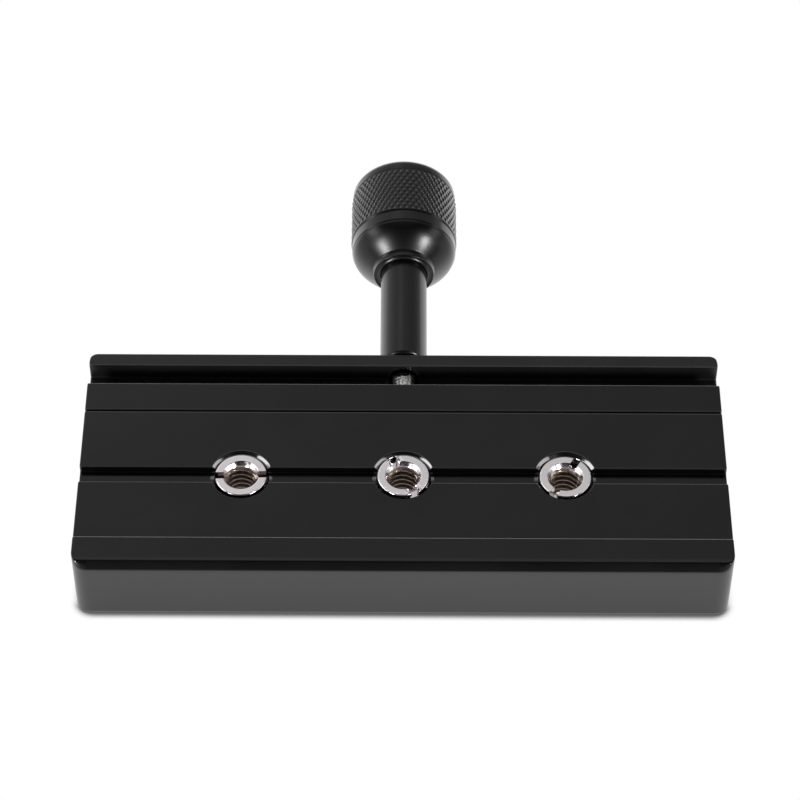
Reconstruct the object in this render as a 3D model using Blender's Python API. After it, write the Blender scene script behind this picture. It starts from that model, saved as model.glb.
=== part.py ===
"""Dovetail quick release clamp, lying jaw side down with its mounting face up.

X runs along the clamp, Y from the fixed jaw towards the knob, Z up. The parts are placed
from the line of mounting holes, and one empty then moves them all so that the world's
origin lies under the middle of the clamp's footprint.
"""

import math

import bmesh
import bpy
import numpy as np

MM = 0.001

# Clearances between separate pieces
SEAT_GAP = 0.3 * MM
THRUST_GAP = 0.15 * MM
STOP_GAP = 0.1 * MM

# Clamp body, measured from the line of holes and from the surface it lies on
BODY_LENGTH = 120.0 * MM
FRONT_REACH = 21.7 * MM
BACK_REACH = 22.2 * MM
BODY_HEIGHT = 14.4 * MM
FRONT_CORNER_RADIUS = 3.0 * MM
FRONT_TOP_CHAMFER = 1.1 * MM
FOOT_CHAMFER = 1.0 * MM
LIP_WIDTH = 6.65 * MM
LIP_HEIGHT = 0.6 * MM
CHANNEL_WIDTH = 3.5 * MM
CHANNEL_DEPTH = 1.5 * MM
GROOVE_OFFSET = 15.4 * MM
GROOVE_WIDTH = 0.5 * MM
GROOVE_DEPTH = 0.5 * MM

# Dovetail between the jaws
DOVETAIL_HEIGHT = 6.0 * MM
DOVETAIL_WALL = 1.4 * MM
NOSE_LAND = 0.6 * MM
FIXED_JAW_THICKNESS = 4.4 * MM
PLATE_WIDTH = 38.0 * MM
CLAMPING_TRAVEL = 2.0 * MM
CLOSING_TRAVEL = 2.4 * MM

# Movable jaw
REST_GAP = 4.6 * MM
RAIL_THICKNESS = 2.8 * MM
LEDGE_DROP = 3.7 * MM
RAIL_CORNER_RADIUS = 1.6 * MM

# Mounting holes and their thread reducers
HOLE_PITCH = 30.0 * MM
HOLE_MOUTH_CHAMFER = 0.6 * MM
BUSHING_DIAMETER = 9.6 * MM
BUSHING_LENGTH = 8.0 * MM
BUSHING_BORE = 5.2 * MM
BUSHING_EDGE = 0.3 * MM
COUNTERSINK_DIAMETER = 6.6 * MM
SLOT_WIDTH = 1.5 * MM
SLOT_DEPTH = 1.5 * MM

# Name, side, angle of the slot, and how far below the face the bushing is screwed in
BUSHINGS = (
    ("bushing_left", -1, 2.0, 0.15 * MM),
    ("bushing_middle", 0, 118.0, 0.05 * MM),
    ("bushing_right", 1, 60.0, 0.3 * MM),
)

# Clamping screw
SCREW_DROP = 3.75 * MM
SCREW_DIAMETER = 5.0 * MM
SCREW_TIP_CHAMFER = 0.6 * MM
SCREW_ENGAGEMENT = 12.2 * MM
SCREW_IN_SHAFT = 11.6 * MM
TAPPED_DEPTH = 15.2 * MM

# Knob shaft and knob head, whose bell has set slopes (radius over length) at both ends
SHAFT_DIAMETER = 9.0 * MM
SHAFT_REACH = 24.2 * MM
SHAFT_IN_HEAD = 6.0 * MM
SHAFT_FRONT_CHAMFER = 0.4 * MM
SHAFT_EDGE = 0.2 * MM
COLLAR_DIAMETER = 11.9 * MM
COLLAR_LENGTH = 1.3 * MM
BORE_MOUTH_CHAMFER = 0.2 * MM
BELL_LENGTH = 4.2 * MM
BELL_END_DIAMETER = 20.2 * MM
BELL_FOOT_SLOPE = 1.1
BELL_END_SLOPE = 0.2
BAND_DIAMETER = 20.5 * MM
BAND_LENGTH = 3.0 * MM
BAND_EDGE = 0.25 * MM
KNURL_DIAMETER = 21.0 * MM
KNURL_LENGTH = 11.0 * MM
KNURL_DEPTH = 0.3 * MM
KNURL_TEETH = 54
KNURL_ROWS = 11
REAR_LENGTH = 3.1 * MM
REAR_DIAMETER = 20.6 * MM
REAR_ROUNDING = 1.8 * MM

# Guide pins and return springs, half way between the outer bushings and the ends
PIN_RISE = 2.4 * MM
PIN_DIAMETER = 3.0 * MM
PIN_LENGTH = 16.2 * MM
PIN_END_CHAMFER = 0.3 * MM
PIN_HOLE_FLOOR = 1.1 * MM
SPRING_WIRE = 0.4 * MM
SPRING_LENGTH = 12.4 * MM
SPRING_TURNS = 7

# How finely round shapes are divided
ROUND_STEPS = 48
SMALL_ROUND_STEPS = 32
CORNER_STEPS = 8
BELL_STEPS = 8
SPRING_STEPS_PER_TURN = 12
SPRING_SIDES = 6

# How far a cutter reaches past the surface that it opens
CUT_PAST = 5.0 * MM

# Places worked out from the sizes above
HALF_LENGTH = BODY_LENGTH / 2
SCREW_HEIGHT = BODY_HEIGHT - SCREW_DROP
NOSE_RUN = DOVETAIL_HEIGHT - DOVETAIL_WALL - NOSE_LAND
FIXED_V = -FRONT_REACH + FIXED_JAW_THICKNESS
JAW_OUTER_FACE = BACK_REACH + REST_GAP + RAIL_THICKNESS
JAW_INNER_FACE = BACK_REACH + CLOSING_TRAVEL + STOP_GAP
MOVABLE_V = FIXED_V + PLATE_WIDTH + CLAMPING_TRAVEL
HEAD_LENGTH = COLLAR_LENGTH + BELL_LENGTH + BAND_LENGTH + KNURL_LENGTH + REAR_LENGTH
OVERALL_BACK = JAW_OUTER_FACE + SHAFT_REACH + HEAD_LENGTH
FOOTPRINT_SHIFT = (FRONT_REACH - OVERALL_BACK) / 2
PIN_OFFSET = (HOLE_PITCH + BUSHING_DIAMETER / 2 + HALF_LENGTH) / 2
PIN_HEIGHT = DOVETAIL_HEIGHT + PIN_RISE
PIN_BORE_DIAMETER = PIN_DIAMETER + 2 * SEAT_GAP
PIN_HOLE_END = JAW_OUTER_FACE - PIN_HOLE_FLOOR
PIN_OUTER_END = PIN_HOLE_END - SEAT_GAP
PIN_TIP = PIN_OUTER_END - PIN_LENGTH
SPRING_BACK = PIN_TIP - SEAT_GAP
SPRING_FRONT = SPRING_BACK - SPRING_LENGTH
SPRING_RADIUS = PIN_DIAMETER / 2 - SPRING_WIRE / 2


def clear_scene():
    """Remove every object that the file opens with."""
    for old in list(bpy.data.objects):
        bpy.data.objects.remove(old, do_unlink=True)


def finish(name, color, roughness, metallic):
    """A plain material of one colour."""
    made = bpy.data.materials.new(name)
    made.use_nodes = True
    shader = made.node_tree.nodes["Principled BSDF"]
    shader.inputs["Base Color"].default_value = (*color, 1.0)
    shader.inputs["Roughness"].default_value = roughness
    shader.inputs["Metallic"].default_value = metallic
    return made


def black_anodised(name):
    """Satin black anodised aluminium."""
    return finish(name, (0.022, 0.022, 0.023), 0.42, 0.35)


def bright_steel(name):
    """Nickel-plated or bare steel."""
    return finish(name, (0.62, 0.59, 0.56), 0.25, 1.0)


def empty(name, place, parent=None):
    """An empty that carries the pieces which move together."""
    made = bpy.data.objects.new(name, None)
    made.location = place
    made.parent = parent
    bpy.context.scene.collection.objects.link(made)
    return made


def solid(name, mesh_builder, parent, material=None, place=(0.0, 0.0, 0.0), turn=(0.0, 0.0, 0.0)):
    """An object with the mesh that mesh_builder leaves, closed and facing outwards."""
    shape = bmesh.new()
    mesh_builder(shape)
    bmesh.ops.recalc_face_normals(shape, faces=shape.faces)
    mesh = bpy.data.meshes.new(name)
    shape.to_mesh(mesh)
    shape.free()
    mesh.shade_smooth()
    mesh.set_sharp_from_angle(angle=math.radians(30))
    made = bpy.data.objects.new(name, mesh)
    made.parent = parent
    made.location = place
    made.rotation_euler = turn
    bpy.context.scene.collection.objects.link(made)
    if material is not None:
        mesh.materials.append(material)
    return made


def cutter(name, mesh_builder, parent, place=(0.0, 0.0, 0.0), turn=(0.0, 0.0, 0.0)):
    """A shape that only cuts others."""
    made = solid(name, mesh_builder, parent, None, place, turn)
    made.hide_render = True
    made.display_type = "WIRE"
    return made


def combine(piece, other, operation):
    """Cut the piece with the other shape, or keep only what lies in both."""
    step = piece.modifiers.new(other.name, "BOOLEAN")
    step.operation = operation
    step.solver = "EXACT"
    step.object = other


def along_x(outline, start, end):
    """Extrude a closed outline of (y, z) points along X."""

    def build(shape):
        loop = [shape.verts.new((start, y, z)) for y, z in outline]
        face = shape.faces.new(loop)
        moved = bmesh.ops.extrude_face_region(shape, geom=[face])["geom"]
        verts = [part for part in moved if isinstance(part, bmesh.types.BMVert)]
        bmesh.ops.translate(shape, verts=verts, vec=(end - start, 0.0, 0.0))

    return build


def along_z(outline, start, end):
    """Extrude a closed outline of (x, y) points along Z."""

    def build(shape):
        loop = [shape.verts.new((x, y, start)) for x, y in outline]
        face = shape.faces.new(loop)
        moved = bmesh.ops.extrude_face_region(shape, geom=[face])["geom"]
        verts = [part for part in moved if isinstance(part, bmesh.types.BMVert)]
        bmesh.ops.translate(shape, verts=verts, vec=(0.0, 0.0, end - start))

    return build


def turned(outline, steps, closed):
    """Spin an outline of (radius, z) points about Z.

    A closed outline makes a ring with a bore. An open one starts and ends on the axis.
    """

    def build(shape):
        verts = [shape.verts.new((radius, 0.0, z)) for radius, z in outline]
        pairs = list(zip(verts, verts[1:]))
        if closed:
            pairs.append((verts[-1], verts[0]))
        edges = [shape.edges.new(pair) for pair in pairs]
        bmesh.ops.spin(
            shape,
            geom=verts + edges,
            cent=(0.0, 0.0, 0.0),
            axis=(0.0, 0.0, 1.0),
            angle=2 * math.pi,
            steps=steps,
            use_merge=True,
        )
        bmesh.ops.remove_doubles(shape, verts=shape.verts, dist=1e-6)

    return build


def bar(diameter, start, end, chamfer=0.0, steps=SMALL_ROUND_STEPS):
    """A round bar along Z with the same chamfer on both ends."""
    radius = diameter / 2
    outline = [(0.0, start), (radius - chamfer, start)]
    if chamfer > 0.0:
        outline += [(radius, start + chamfer), (radius, end - chamfer)]
    outline += [(radius - chamfer, end), (0.0, end)]
    return turned(outline, steps, closed=False)


def corner_arc(centre, radius, start_angle, end_angle):
    """Points of an arc about a centre, both ends included."""
    angles = np.radians(np.linspace(start_angle, end_angle, CORNER_STEPS + 1))
    return [(centre[0] + radius * math.cos(a), centre[1] + radius * math.sin(a)) for a in angles]


ALONG_Y = (-math.pi / 2, 0.0, 0.0)


def body_outline():
    """Cross-section of the clamp body as (y, z), from the foot of the fixed jaw round."""
    front = -FRONT_REACH
    lip_back = front + LIP_WIDTH
    lip_top = BODY_HEIGHT + LIP_HEIGHT
    groove_floor = BODY_HEIGHT - GROOVE_DEPTH
    channel_floor = BODY_HEIGHT - CHANNEL_DEPTH
    return [
        (front + FOOT_CHAMFER, 0.0),
        (FIXED_V + NOSE_RUN, 0.0),
        (FIXED_V + NOSE_RUN, NOSE_LAND),
        (FIXED_V, NOSE_LAND + NOSE_RUN),
        (FIXED_V, DOVETAIL_HEIGHT),
        (BACK_REACH, DOVETAIL_HEIGHT),
        (BACK_REACH, BODY_HEIGHT),
        (GROOVE_OFFSET + GROOVE_WIDTH / 2, BODY_HEIGHT),
        (GROOVE_OFFSET + GROOVE_WIDTH / 2, groove_floor),
        (GROOVE_OFFSET - GROOVE_WIDTH / 2, groove_floor),
        (GROOVE_OFFSET - GROOVE_WIDTH / 2, BODY_HEIGHT),
        (CHANNEL_WIDTH / 2, BODY_HEIGHT),
        (CHANNEL_WIDTH / 2, channel_floor),
        (-CHANNEL_WIDTH / 2, channel_floor),
        (-CHANNEL_WIDTH / 2, BODY_HEIGHT),
        (lip_back, BODY_HEIGHT),
        (lip_back, lip_top),
        (front + FRONT_TOP_CHAMFER, lip_top),
        (front, lip_top - FRONT_TOP_CHAMFER),
        (front, FOOT_CHAMFER),
    ]


def body_plan():
    """Plan of the clamp body as (x, y), with its two front corners rounded."""
    radius = FRONT_CORNER_RADIUS
    corner_y = -FRONT_REACH + radius
    left = corner_arc((-HALF_LENGTH + radius, corner_y), radius, 180, 270)
    right = corner_arc((HALF_LENGTH - radius, corner_y), radius, 270, 360)
    return left + right + [(HALF_LENGTH, BACK_REACH), (-HALF_LENGTH, BACK_REACH)]


def make_body(frame):
    """The clamp body with its mounting holes, tapped bore and pin bores."""
    past = CUT_PAST
    outline = along_x(body_outline(), -HALF_LENGTH - past, HALF_LENGTH + past)
    body = solid("clamp_body", outline, frame, black_anodised("body_black"))

    plan = cutter("body_plan", along_z(body_plan(), -past, BODY_HEIGHT + past), frame)
    combine(body, plan, "INTERSECT")

    radius = BUSHING_DIAMETER / 2 + SEAT_GAP
    mouth = radius + HOLE_MOUTH_CHAMFER + past
    hole = [
        (0.0, -past),
        (radius, -past),
        (radius, BODY_HEIGHT - HOLE_MOUTH_CHAMFER),
        (mouth, BODY_HEIGHT + past),
        (0.0, BODY_HEIGHT + past),
    ]
    for name, side, _, _ in BUSHINGS:
        place = (side * HOLE_PITCH, 0.0, 0.0)
        combine(body, cutter(f"{name}_hole", turned(hole, ROUND_STEPS, False), frame, place), "DIFFERENCE")

    tapped = bar(SCREW_DIAMETER + 2 * SEAT_GAP, -TAPPED_DEPTH, past)
    place = (0.0, BACK_REACH, SCREW_HEIGHT)
    combine(body, cutter("tapped_bore", tapped, frame, place, ALONG_Y), "DIFFERENCE")

    spring_floor = SPRING_FRONT - SEAT_GAP
    bore = bar(PIN_BORE_DIAMETER, spring_floor, BACK_REACH + past)
    for name, side in (("left", -1), ("right", 1)):
        place = (side * PIN_OFFSET, 0.0, PIN_HEIGHT)
        combine(body, cutter(f"pin_bore_{name}", bore, frame, place, ALONG_Y), "DIFFERENCE")
    return body


def make_bushings(frame):
    """Thread reducers with a countersunk bore and a slot for a coin or driver."""
    outer = BUSHING_DIAMETER / 2
    bore = BUSHING_BORE / 2
    sink = COUNTERSINK_DIAMETER / 2
    outline = [
        (outer - BUSHING_EDGE, 0.0),
        (outer, -BUSHING_EDGE),
        (outer, BUSHING_EDGE - BUSHING_LENGTH),
        (outer - BUSHING_EDGE, -BUSHING_LENGTH),
        (bore + BUSHING_EDGE, -BUSHING_LENGTH),
        (bore, BUSHING_EDGE - BUSHING_LENGTH),
        (bore, bore - sink),
        (sink, 0.0),
    ]
    past = CUT_PAST
    half = SLOT_WIDTH / 2
    slot_outline = [(-half, -SLOT_DEPTH), (half, -SLOT_DEPTH), (half, past), (-half, past)]
    slot_shape = along_x(slot_outline, -outer - past, outer + past)
    for name, side, angle, recess in BUSHINGS:
        place = (side * HOLE_PITCH, 0.0, BODY_HEIGHT - recess)
        turn = (0.0, 0.0, math.radians(angle))
        bushing = solid(name, turned(outline, ROUND_STEPS, True), frame, bright_steel(f"{name}_nickel"), place)
        combine(bushing, cutter(f"{name}_slot", slot_shape, frame, place, turn), "DIFFERENCE")


def jaw_outline():
    """Cross-section of the movable jaw as (y, z), measured from its outer face."""
    rail_inner = -RAIL_THICKNESS
    inner = JAW_INNER_FACE - JAW_OUTER_FACE
    deepest = MOVABLE_V - JAW_OUTER_FACE
    ledge = BODY_HEIGHT - LEDGE_DROP
    tongue_top = DOVETAIL_HEIGHT - SEAT_GAP
    return [
        (-FOOT_CHAMFER, 0.0),
        (0.0, FOOT_CHAMFER),
        (0.0, BODY_HEIGHT),
        (rail_inner, BODY_HEIGHT),
        (rail_inner, ledge),
        (inner, ledge),
        (inner, tongue_top),
        (deepest, tongue_top),
        (deepest, NOSE_LAND + NOSE_RUN),
        (deepest - NOSE_RUN, NOSE_LAND),
        (deepest - NOSE_RUN, 0.0),
    ]


def jaw_plan():
    """Plan of the movable jaw as (x, y), with its two outer corners rounded."""
    radius = RAIL_CORNER_RADIUS
    nose = MOVABLE_V - NOSE_RUN - JAW_OUTER_FACE
    right = corner_arc((HALF_LENGTH - radius, -radius), radius, 0, 90)
    left = corner_arc((-HALF_LENGTH + radius, -radius), radius, 90, 180)
    return [(HALF_LENGTH, nose)] + right + left + [(-HALF_LENGTH, nose)]


def make_jaw(frame):
    """The movable jaw with its screw hole and the blind holes of its pins."""
    past = CUT_PAST
    outline = along_x(jaw_outline(), -HALF_LENGTH - past, HALF_LENGTH + past)
    jaw = solid("movable_jaw", outline, frame, black_anodised("jaw_black"))

    plan = cutter("jaw_plan", along_z(jaw_plan(), -past, BODY_HEIGHT + past), frame)
    combine(jaw, plan, "INTERSECT")

    depth = JAW_INNER_FACE - JAW_OUTER_FACE
    screw_hole = bar(SCREW_DIAMETER + 2 * SEAT_GAP, depth - past, past)
    combine(jaw, cutter("screw_hole", screw_hole, frame, (0.0, 0.0, SCREW_HEIGHT), ALONG_Y), "DIFFERENCE")

    pin_hole = bar(PIN_BORE_DIAMETER, depth - past, -PIN_HOLE_FLOOR)
    pin = bar(PIN_DIAMETER, PIN_TIP - JAW_OUTER_FACE, PIN_OUTER_END - JAW_OUTER_FACE, PIN_END_CHAMFER)
    for name, side in (("left", -1), ("right", 1)):
        place = (side * PIN_OFFSET, 0.0, PIN_HEIGHT)
        combine(jaw, cutter(f"pin_hole_{name}", pin_hole, frame, place, ALONG_Y), "DIFFERENCE")
        solid(f"guide_pin_{name}", pin, frame, bright_steel(f"pin_{name}_steel"), place, ALONG_Y)


def coil(shape):
    """A coil spring along Z from 0 to its length, as one wire with flat ends."""
    count = SPRING_TURNS * SPRING_STEPS_PER_TURN + 1
    angle = np.linspace(0.0, 2 * math.pi * SPRING_TURNS, count)
    rise = np.linspace(SPRING_WIRE / 2, SPRING_LENGTH - SPRING_WIRE / 2, count)
    out = np.stack([np.cos(angle), np.sin(angle), np.zeros(count)], axis=1)
    centre = SPRING_RADIUS * out
    centre[:, 2] = rise
    up = np.array([0.0, 0.0, 1.0])
    rings = []
    for middle, outward in zip(centre, out):
        ring = []
        for side in np.linspace(0.0, 2 * math.pi, SPRING_SIDES, endpoint=False):
            offset = SPRING_WIRE / 2 * (math.cos(side) * outward + math.sin(side) * up)
            ring.append(shape.verts.new(middle + offset))
        rings.append(ring)
    for lower, upper in zip(rings, rings[1:]):
        join_rings(shape, lower, upper)
    shape.faces.new(rings[0])
    shape.faces.new(rings[-1])


def make_springs(frame):
    """Return springs between the pins' tips and the floors of their bores."""
    for name, side in (("left", -1), ("right", 1)):
        place = (side * PIN_OFFSET, SPRING_FRONT, PIN_HEIGHT)
        solid(f"return_spring_{name}", coil, frame, bright_steel(f"spring_{name}_steel"), place, ALONG_Y)


def ring_of(shape, radius, z, count):
    """A ring of vertices about Z."""
    angles = np.linspace(0.0, 2 * math.pi, count, endpoint=False)
    return [shape.verts.new((radius * math.cos(a), radius * math.sin(a), z)) for a in angles]


def join_rings(shape, lower, upper):
    """Quads between two rings with as many vertices each."""
    count = len(lower)
    for i in range(count):
        j = (i + 1) % count
        shape.faces.new((lower[i], lower[j], upper[j], upper[i]))


def join_double_ring(shape, single, double):
    """Triangles between a ring and one that has twice as many vertices."""
    count = len(single)
    for i in range(count):
        j = (i + 1) % count
        first, middle, last = double[2 * i], double[2 * i + 1], double[(2 * i + 2) % (2 * count)]
        shape.faces.new((single[i], first, middle))
        shape.faces.new((single[i], middle, single[j]))
        shape.faces.new((single[j], middle, last))


def knurl(shape, start, end):
    """Rows of pyramids between two sets of crossing grooves.

    Every row has a groove crossing and a crest by turns, and the next row has them the
    other way round. Each cell is split along its groove.
    """
    crest = KNURL_DIAMETER / 2
    root = crest - KNURL_DEPTH
    count = 2 * KNURL_TEETH
    rows = []
    for row, z in enumerate(np.linspace(start, end, KNURL_ROWS + 1)):
        ring = ring_of(shape, root, z, count)
        if 0 < row < KNURL_ROWS:
            for i, vertex in enumerate(ring):
                if (row + i) % 2:
                    vertex.co.xy *= crest / root
        rows.append(ring)
    for row, (lower, upper) in enumerate(zip(rows, rows[1:])):
        for i in range(count):
            j = (i + 1) % count
            if (row + i) % 2:
                shape.faces.new((lower[i], lower[j], upper[i]))
                shape.faces.new((lower[j], upper[j], upper[i]))
            else:
                shape.faces.new((lower[i], lower[j], upper[j]))
                shape.faces.new((lower[i], upper[j], upper[i]))
    return rows[0], rows[-1]


def bell_curve(start):
    """Points (radius, z) of the bell from its foot at the collar to its end at the band.

    It is a quadratic curve, whose middle point lies where the two end slopes meet.
    """
    foot = COLLAR_DIAMETER / 2
    end = BELL_END_DIAMETER / 2
    bend_z = (end - foot - BELL_END_SLOPE * BELL_LENGTH) / (BELL_FOOT_SLOPE - BELL_END_SLOPE)
    bend = foot + BELL_FOOT_SLOPE * bend_z
    points = []
    for t in np.linspace(0.0, 1.0, BELL_STEPS + 1):
        radius = (1 - t) ** 2 * foot + 2 * t * (1 - t) * bend + t**2 * end
        points.append((radius, start + 2 * t * (1 - t) * bend_z + t**2 * BELL_LENGTH))
    return points


def head(shape):
    """The knob's head along Z from the collar's face, with a blind bore for the shaft."""
    bore = SHAFT_DIAMETER / 2 + SEAT_GAP
    band = BAND_DIAMETER / 2
    rear = REAR_DIAMETER / 2
    band_start = COLLAR_LENGTH + BELL_LENGTH
    knurl_start = band_start + BAND_LENGTH
    rear_start = knurl_start + KNURL_LENGTH
    root = KNURL_DIAMETER / 2 - KNURL_DEPTH

    front = [(bore, SHAFT_IN_HEAD + SEAT_GAP), (bore, BORE_MOUTH_CHAMFER), (bore + BORE_MOUTH_CHAMFER, 0.0)]
    front.append((COLLAR_DIAMETER / 2, 0.0))
    front += bell_curve(COLLAR_LENGTH)
    front += [
        (band, band_start + BAND_EDGE),
        (band, knurl_start - BAND_EDGE),
        (root, knurl_start - BAND_EDGE / 2),
    ]
    back = [(root, rear_start + BAND_EDGE / 2), (rear, rear_start + BAND_EDGE)]
    for angle in np.radians(np.linspace(0.0, 90.0, CORNER_STEPS // 2 + 1)):
        radius = rear - REAR_ROUNDING * (1 - math.cos(angle))
        back.append((radius, rear_start + REAR_LENGTH - REAR_ROUNDING * (1 - math.sin(angle))))

    front_rings = [ring_of(shape, radius, z, KNURL_TEETH) for radius, z in front]
    back_rings = [ring_of(shape, radius, z, KNURL_TEETH) for radius, z in back]
    for rings in (front_rings, back_rings):
        for lower, upper in zip(rings, rings[1:]):
            join_rings(shape, lower, upper)
    first_row, last_row = knurl(shape, knurl_start, rear_start)
    join_double_ring(shape, front_rings[-1], first_row)
    join_double_ring(shape, back_rings[0], last_row)
    shape.faces.new(front_rings[0])
    shape.faces.new(back_rings[-1])


def make_knob(frame):
    """The knob's head, shaft and screw, along the screw's axis."""
    screw_tip = BACK_REACH - SCREW_ENGAGEMENT - JAW_OUTER_FACE
    screw_end = THRUST_GAP + SCREW_IN_SHAFT
    screw = bar(SCREW_DIAMETER, screw_tip, screw_end, SCREW_TIP_CHAMFER)
    solid("clamp_screw", screw, frame, bright_steel("screw_steel"))

    bore = SCREW_DIAMETER / 2 + SEAT_GAP
    radius = SHAFT_DIAMETER / 2
    shaft_end = SHAFT_REACH + SHAFT_IN_HEAD
    shaft = [
        (0.0, screw_end + SEAT_GAP),
        (bore, screw_end + SEAT_GAP),
        (bore, THRUST_GAP),
        (radius - SHAFT_FRONT_CHAMFER, THRUST_GAP),
        (radius, THRUST_GAP + SHAFT_FRONT_CHAMFER),
        (radius, shaft_end - SHAFT_EDGE),
        (radius - SHAFT_EDGE, shaft_end),
        (0.0, shaft_end),
    ]
    solid("knob_shaft", turned(shaft, ROUND_STEPS, False), frame, black_anodised("shaft_black"))
    solid("knob_head", head, frame, black_anodised("head_black"), (0.0, 0.0, SHAFT_REACH))


def main():
    """Build the clamp, with an empty for each body that moves."""
    clear_scene()
    clamp = empty("clamp_frame", (0.0, FOOTPRINT_SHIFT, 0.0))
    jaw = empty("jaw_frame", (0.0, JAW_OUTER_FACE, 0.0), clamp)
    knob = empty("knob_frame", (0.0, 0.0, SCREW_HEIGHT), jaw)
    knob.rotation_euler = ALONG_Y
    make_body(clamp)
    make_bushings(clamp)
    make_springs(clamp)
    make_jaw(jaw)
    make_knob(knob)


main()
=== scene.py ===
"""Dovetail quick release clamp, lying jaw side down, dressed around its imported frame.

All sizes are in metres in the frame of the CAD model: X along the clamp, Y from the fixed
jaw towards the knob, Z up out of the mounting face.
"""

import logging
import math
from abc import ABC, abstractmethod
from dataclasses import dataclass
from enum import Enum

import bmesh
import bpy
import numpy as np
from mathutils import Matrix, Vector


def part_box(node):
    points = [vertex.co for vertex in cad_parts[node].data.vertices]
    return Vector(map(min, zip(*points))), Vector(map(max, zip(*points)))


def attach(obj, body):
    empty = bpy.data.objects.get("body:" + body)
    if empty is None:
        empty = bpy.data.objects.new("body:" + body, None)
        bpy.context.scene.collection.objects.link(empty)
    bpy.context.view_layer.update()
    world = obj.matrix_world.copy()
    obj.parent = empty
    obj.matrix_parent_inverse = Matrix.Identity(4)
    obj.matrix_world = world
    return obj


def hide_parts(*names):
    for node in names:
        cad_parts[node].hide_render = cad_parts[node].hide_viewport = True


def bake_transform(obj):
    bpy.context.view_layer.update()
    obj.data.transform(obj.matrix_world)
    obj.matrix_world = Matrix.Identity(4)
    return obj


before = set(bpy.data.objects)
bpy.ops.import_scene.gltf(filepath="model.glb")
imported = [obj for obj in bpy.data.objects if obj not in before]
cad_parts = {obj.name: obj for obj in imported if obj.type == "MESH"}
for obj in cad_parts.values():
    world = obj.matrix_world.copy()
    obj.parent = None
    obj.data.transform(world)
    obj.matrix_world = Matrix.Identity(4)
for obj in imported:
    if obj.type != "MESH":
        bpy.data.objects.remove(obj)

log = logging.getLogger("clamp")

Array = np.ndarray
Box = tuple[Vector, Vector]
Triple = tuple[float, float, float]
Rgba = tuple[float, float, float, float]
Ramp = tuple[float, float, float, float]
Socket = bpy.types.NodeSocket

MM = 0.001
TURN = 2.0 * math.pi
NEAR_ZERO = 0.1 * MM
FLUSH = 1e-7


class Body(Enum):
    """The bodies of the frame that a piece can ride on."""

    CLAMP = "clamp_body"
    JAW = "jaw"
    KNOB = "knob"


class Slot(Enum):
    """The material slots of the record."""

    BLACK = "black_anodised"
    NICKEL = "nickel"
    STEEL = "steel"
    SPRING = "spring_steel"


class Side(Enum):
    """Which end of the clamp a piece belongs to."""

    LEFT = "left"
    RIGHT = "right"


def middle(box: Box) -> Vector:
    """The middle of a box."""
    return (box[0] + box[1]) / 2


def half_width(box: Box) -> float:
    """Half a box's size along X, which is the radius of a round piece."""
    return (box[1].x - box[0].x) / 2


# ---- surfaces ----


@dataclass(frozen=True)
class Axis:
    """A line that round surfaces are turned about, with the direction of angle 0."""

    origin: Triple
    along: Triple = (0.0, 1.0, 0.0)
    out: Triple = (0.0, 0.0, 1.0)

    @classmethod
    def upright(cls, x: float, y: float) -> "Axis":
        """A vertical axis, from the surface that the clamp lies on."""
        return cls((x, y, 0.0), (0.0, 0.0, 1.0), (1.0, 0.0, 0.0))

    def place(self, radius: Array, height: Array, angle: Array) -> Array:
        """Points of a turned surface.

        Formula: origin + height * along + radius * (cos(angle) * out + sin(angle) * across),
        where across is along x out.

        Args:
            radius: distance from the axis.
            height: distance along the axis.
            angle: angle about the axis in radians. All three are broadcast together.

        Returns:
            The points, with X, Y and Z as the last dimension.
        """
        along, out = np.array(self.along), np.array(self.out)
        across = np.cross(along, out)
        radius, height, angle = (v[..., None] for v in np.broadcast_arrays(radius, height, angle))
        spoke = np.cos(angle) * out + np.sin(angle) * across
        return np.array(self.origin) + height * along + radius * spoke


def bow(start: Array, corner: Array, end: Array, t: Array) -> Array:
    """A curve that leaves start and reaches end on the lines through the corner.

    Formula: (1 - t)^2 start + 2 t (1 - t) corner + t^2 end, for t from 0 to 1.
    """
    return (1 - t) ** 2 * start + 2 * t * (1 - t) * corner + t**2 * end


def rounded(corners: Array, reach: Array | float, steps: int) -> Array:
    """Replace each corner of closed outlines by a short curve.

    Formula: the curve bows from the side before the corner to the side after it. It takes
    at most 0.45 of a side, so that neighbouring curves stay apart.

    Args:
        corners: outlines as (..., corners, 2).
        reach: how far each curve goes along the side before and the side after, as
            (corners, 2) or a value that fills it.
        steps: points per corner.

    Returns:
        The outlines as (..., corners * steps, 2).
    """
    reach = np.broadcast_to(reach, (corners.shape[-2], 2))
    ends = []
    for turn, column in ((1, reach[:, :1]), (-1, reach[:, 1:])):
        side = np.roll(corners, turn, axis=-2) - corners
        share = np.minimum(column / np.linalg.norm(side, axis=-1, keepdims=True), 0.45)
        ends.append((corners + side * share)[..., None, :])
    t = np.linspace(0.0, 1.0, steps)[:, None]
    return bow(ends[0], corners[..., None, :], ends[1], t).reshape(*corners.shape[:-2], -1, 2)


def inset(corners: Array, depth: Array) -> Array:
    """Move the sides of closed outlines inwards.

    Formula: a corner moves by depth * (n1 + n2) / (1 + n1 . n2), where n1 and n2 are the
    inward unit normals of its two sides. The outlines run anticlockwise.

    Args:
        corners: outlines as (outlines, corners, 2).
        depth: how far each outline's sides move.

    Returns:
        The moved outlines.
    """
    along = np.roll(corners, -1, axis=-2) - corners
    along /= np.linalg.norm(along, axis=-1, keepdims=True)
    after = np.stack([-along[..., 1], along[..., 0]], axis=-1)
    before = np.roll(after, 1, axis=-2)
    shared = 1.0 + (before * after).sum(-1, keepdims=True)
    return corners + depth[:, None, None] * (before + after) / np.maximum(shared, 0.2)


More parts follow.
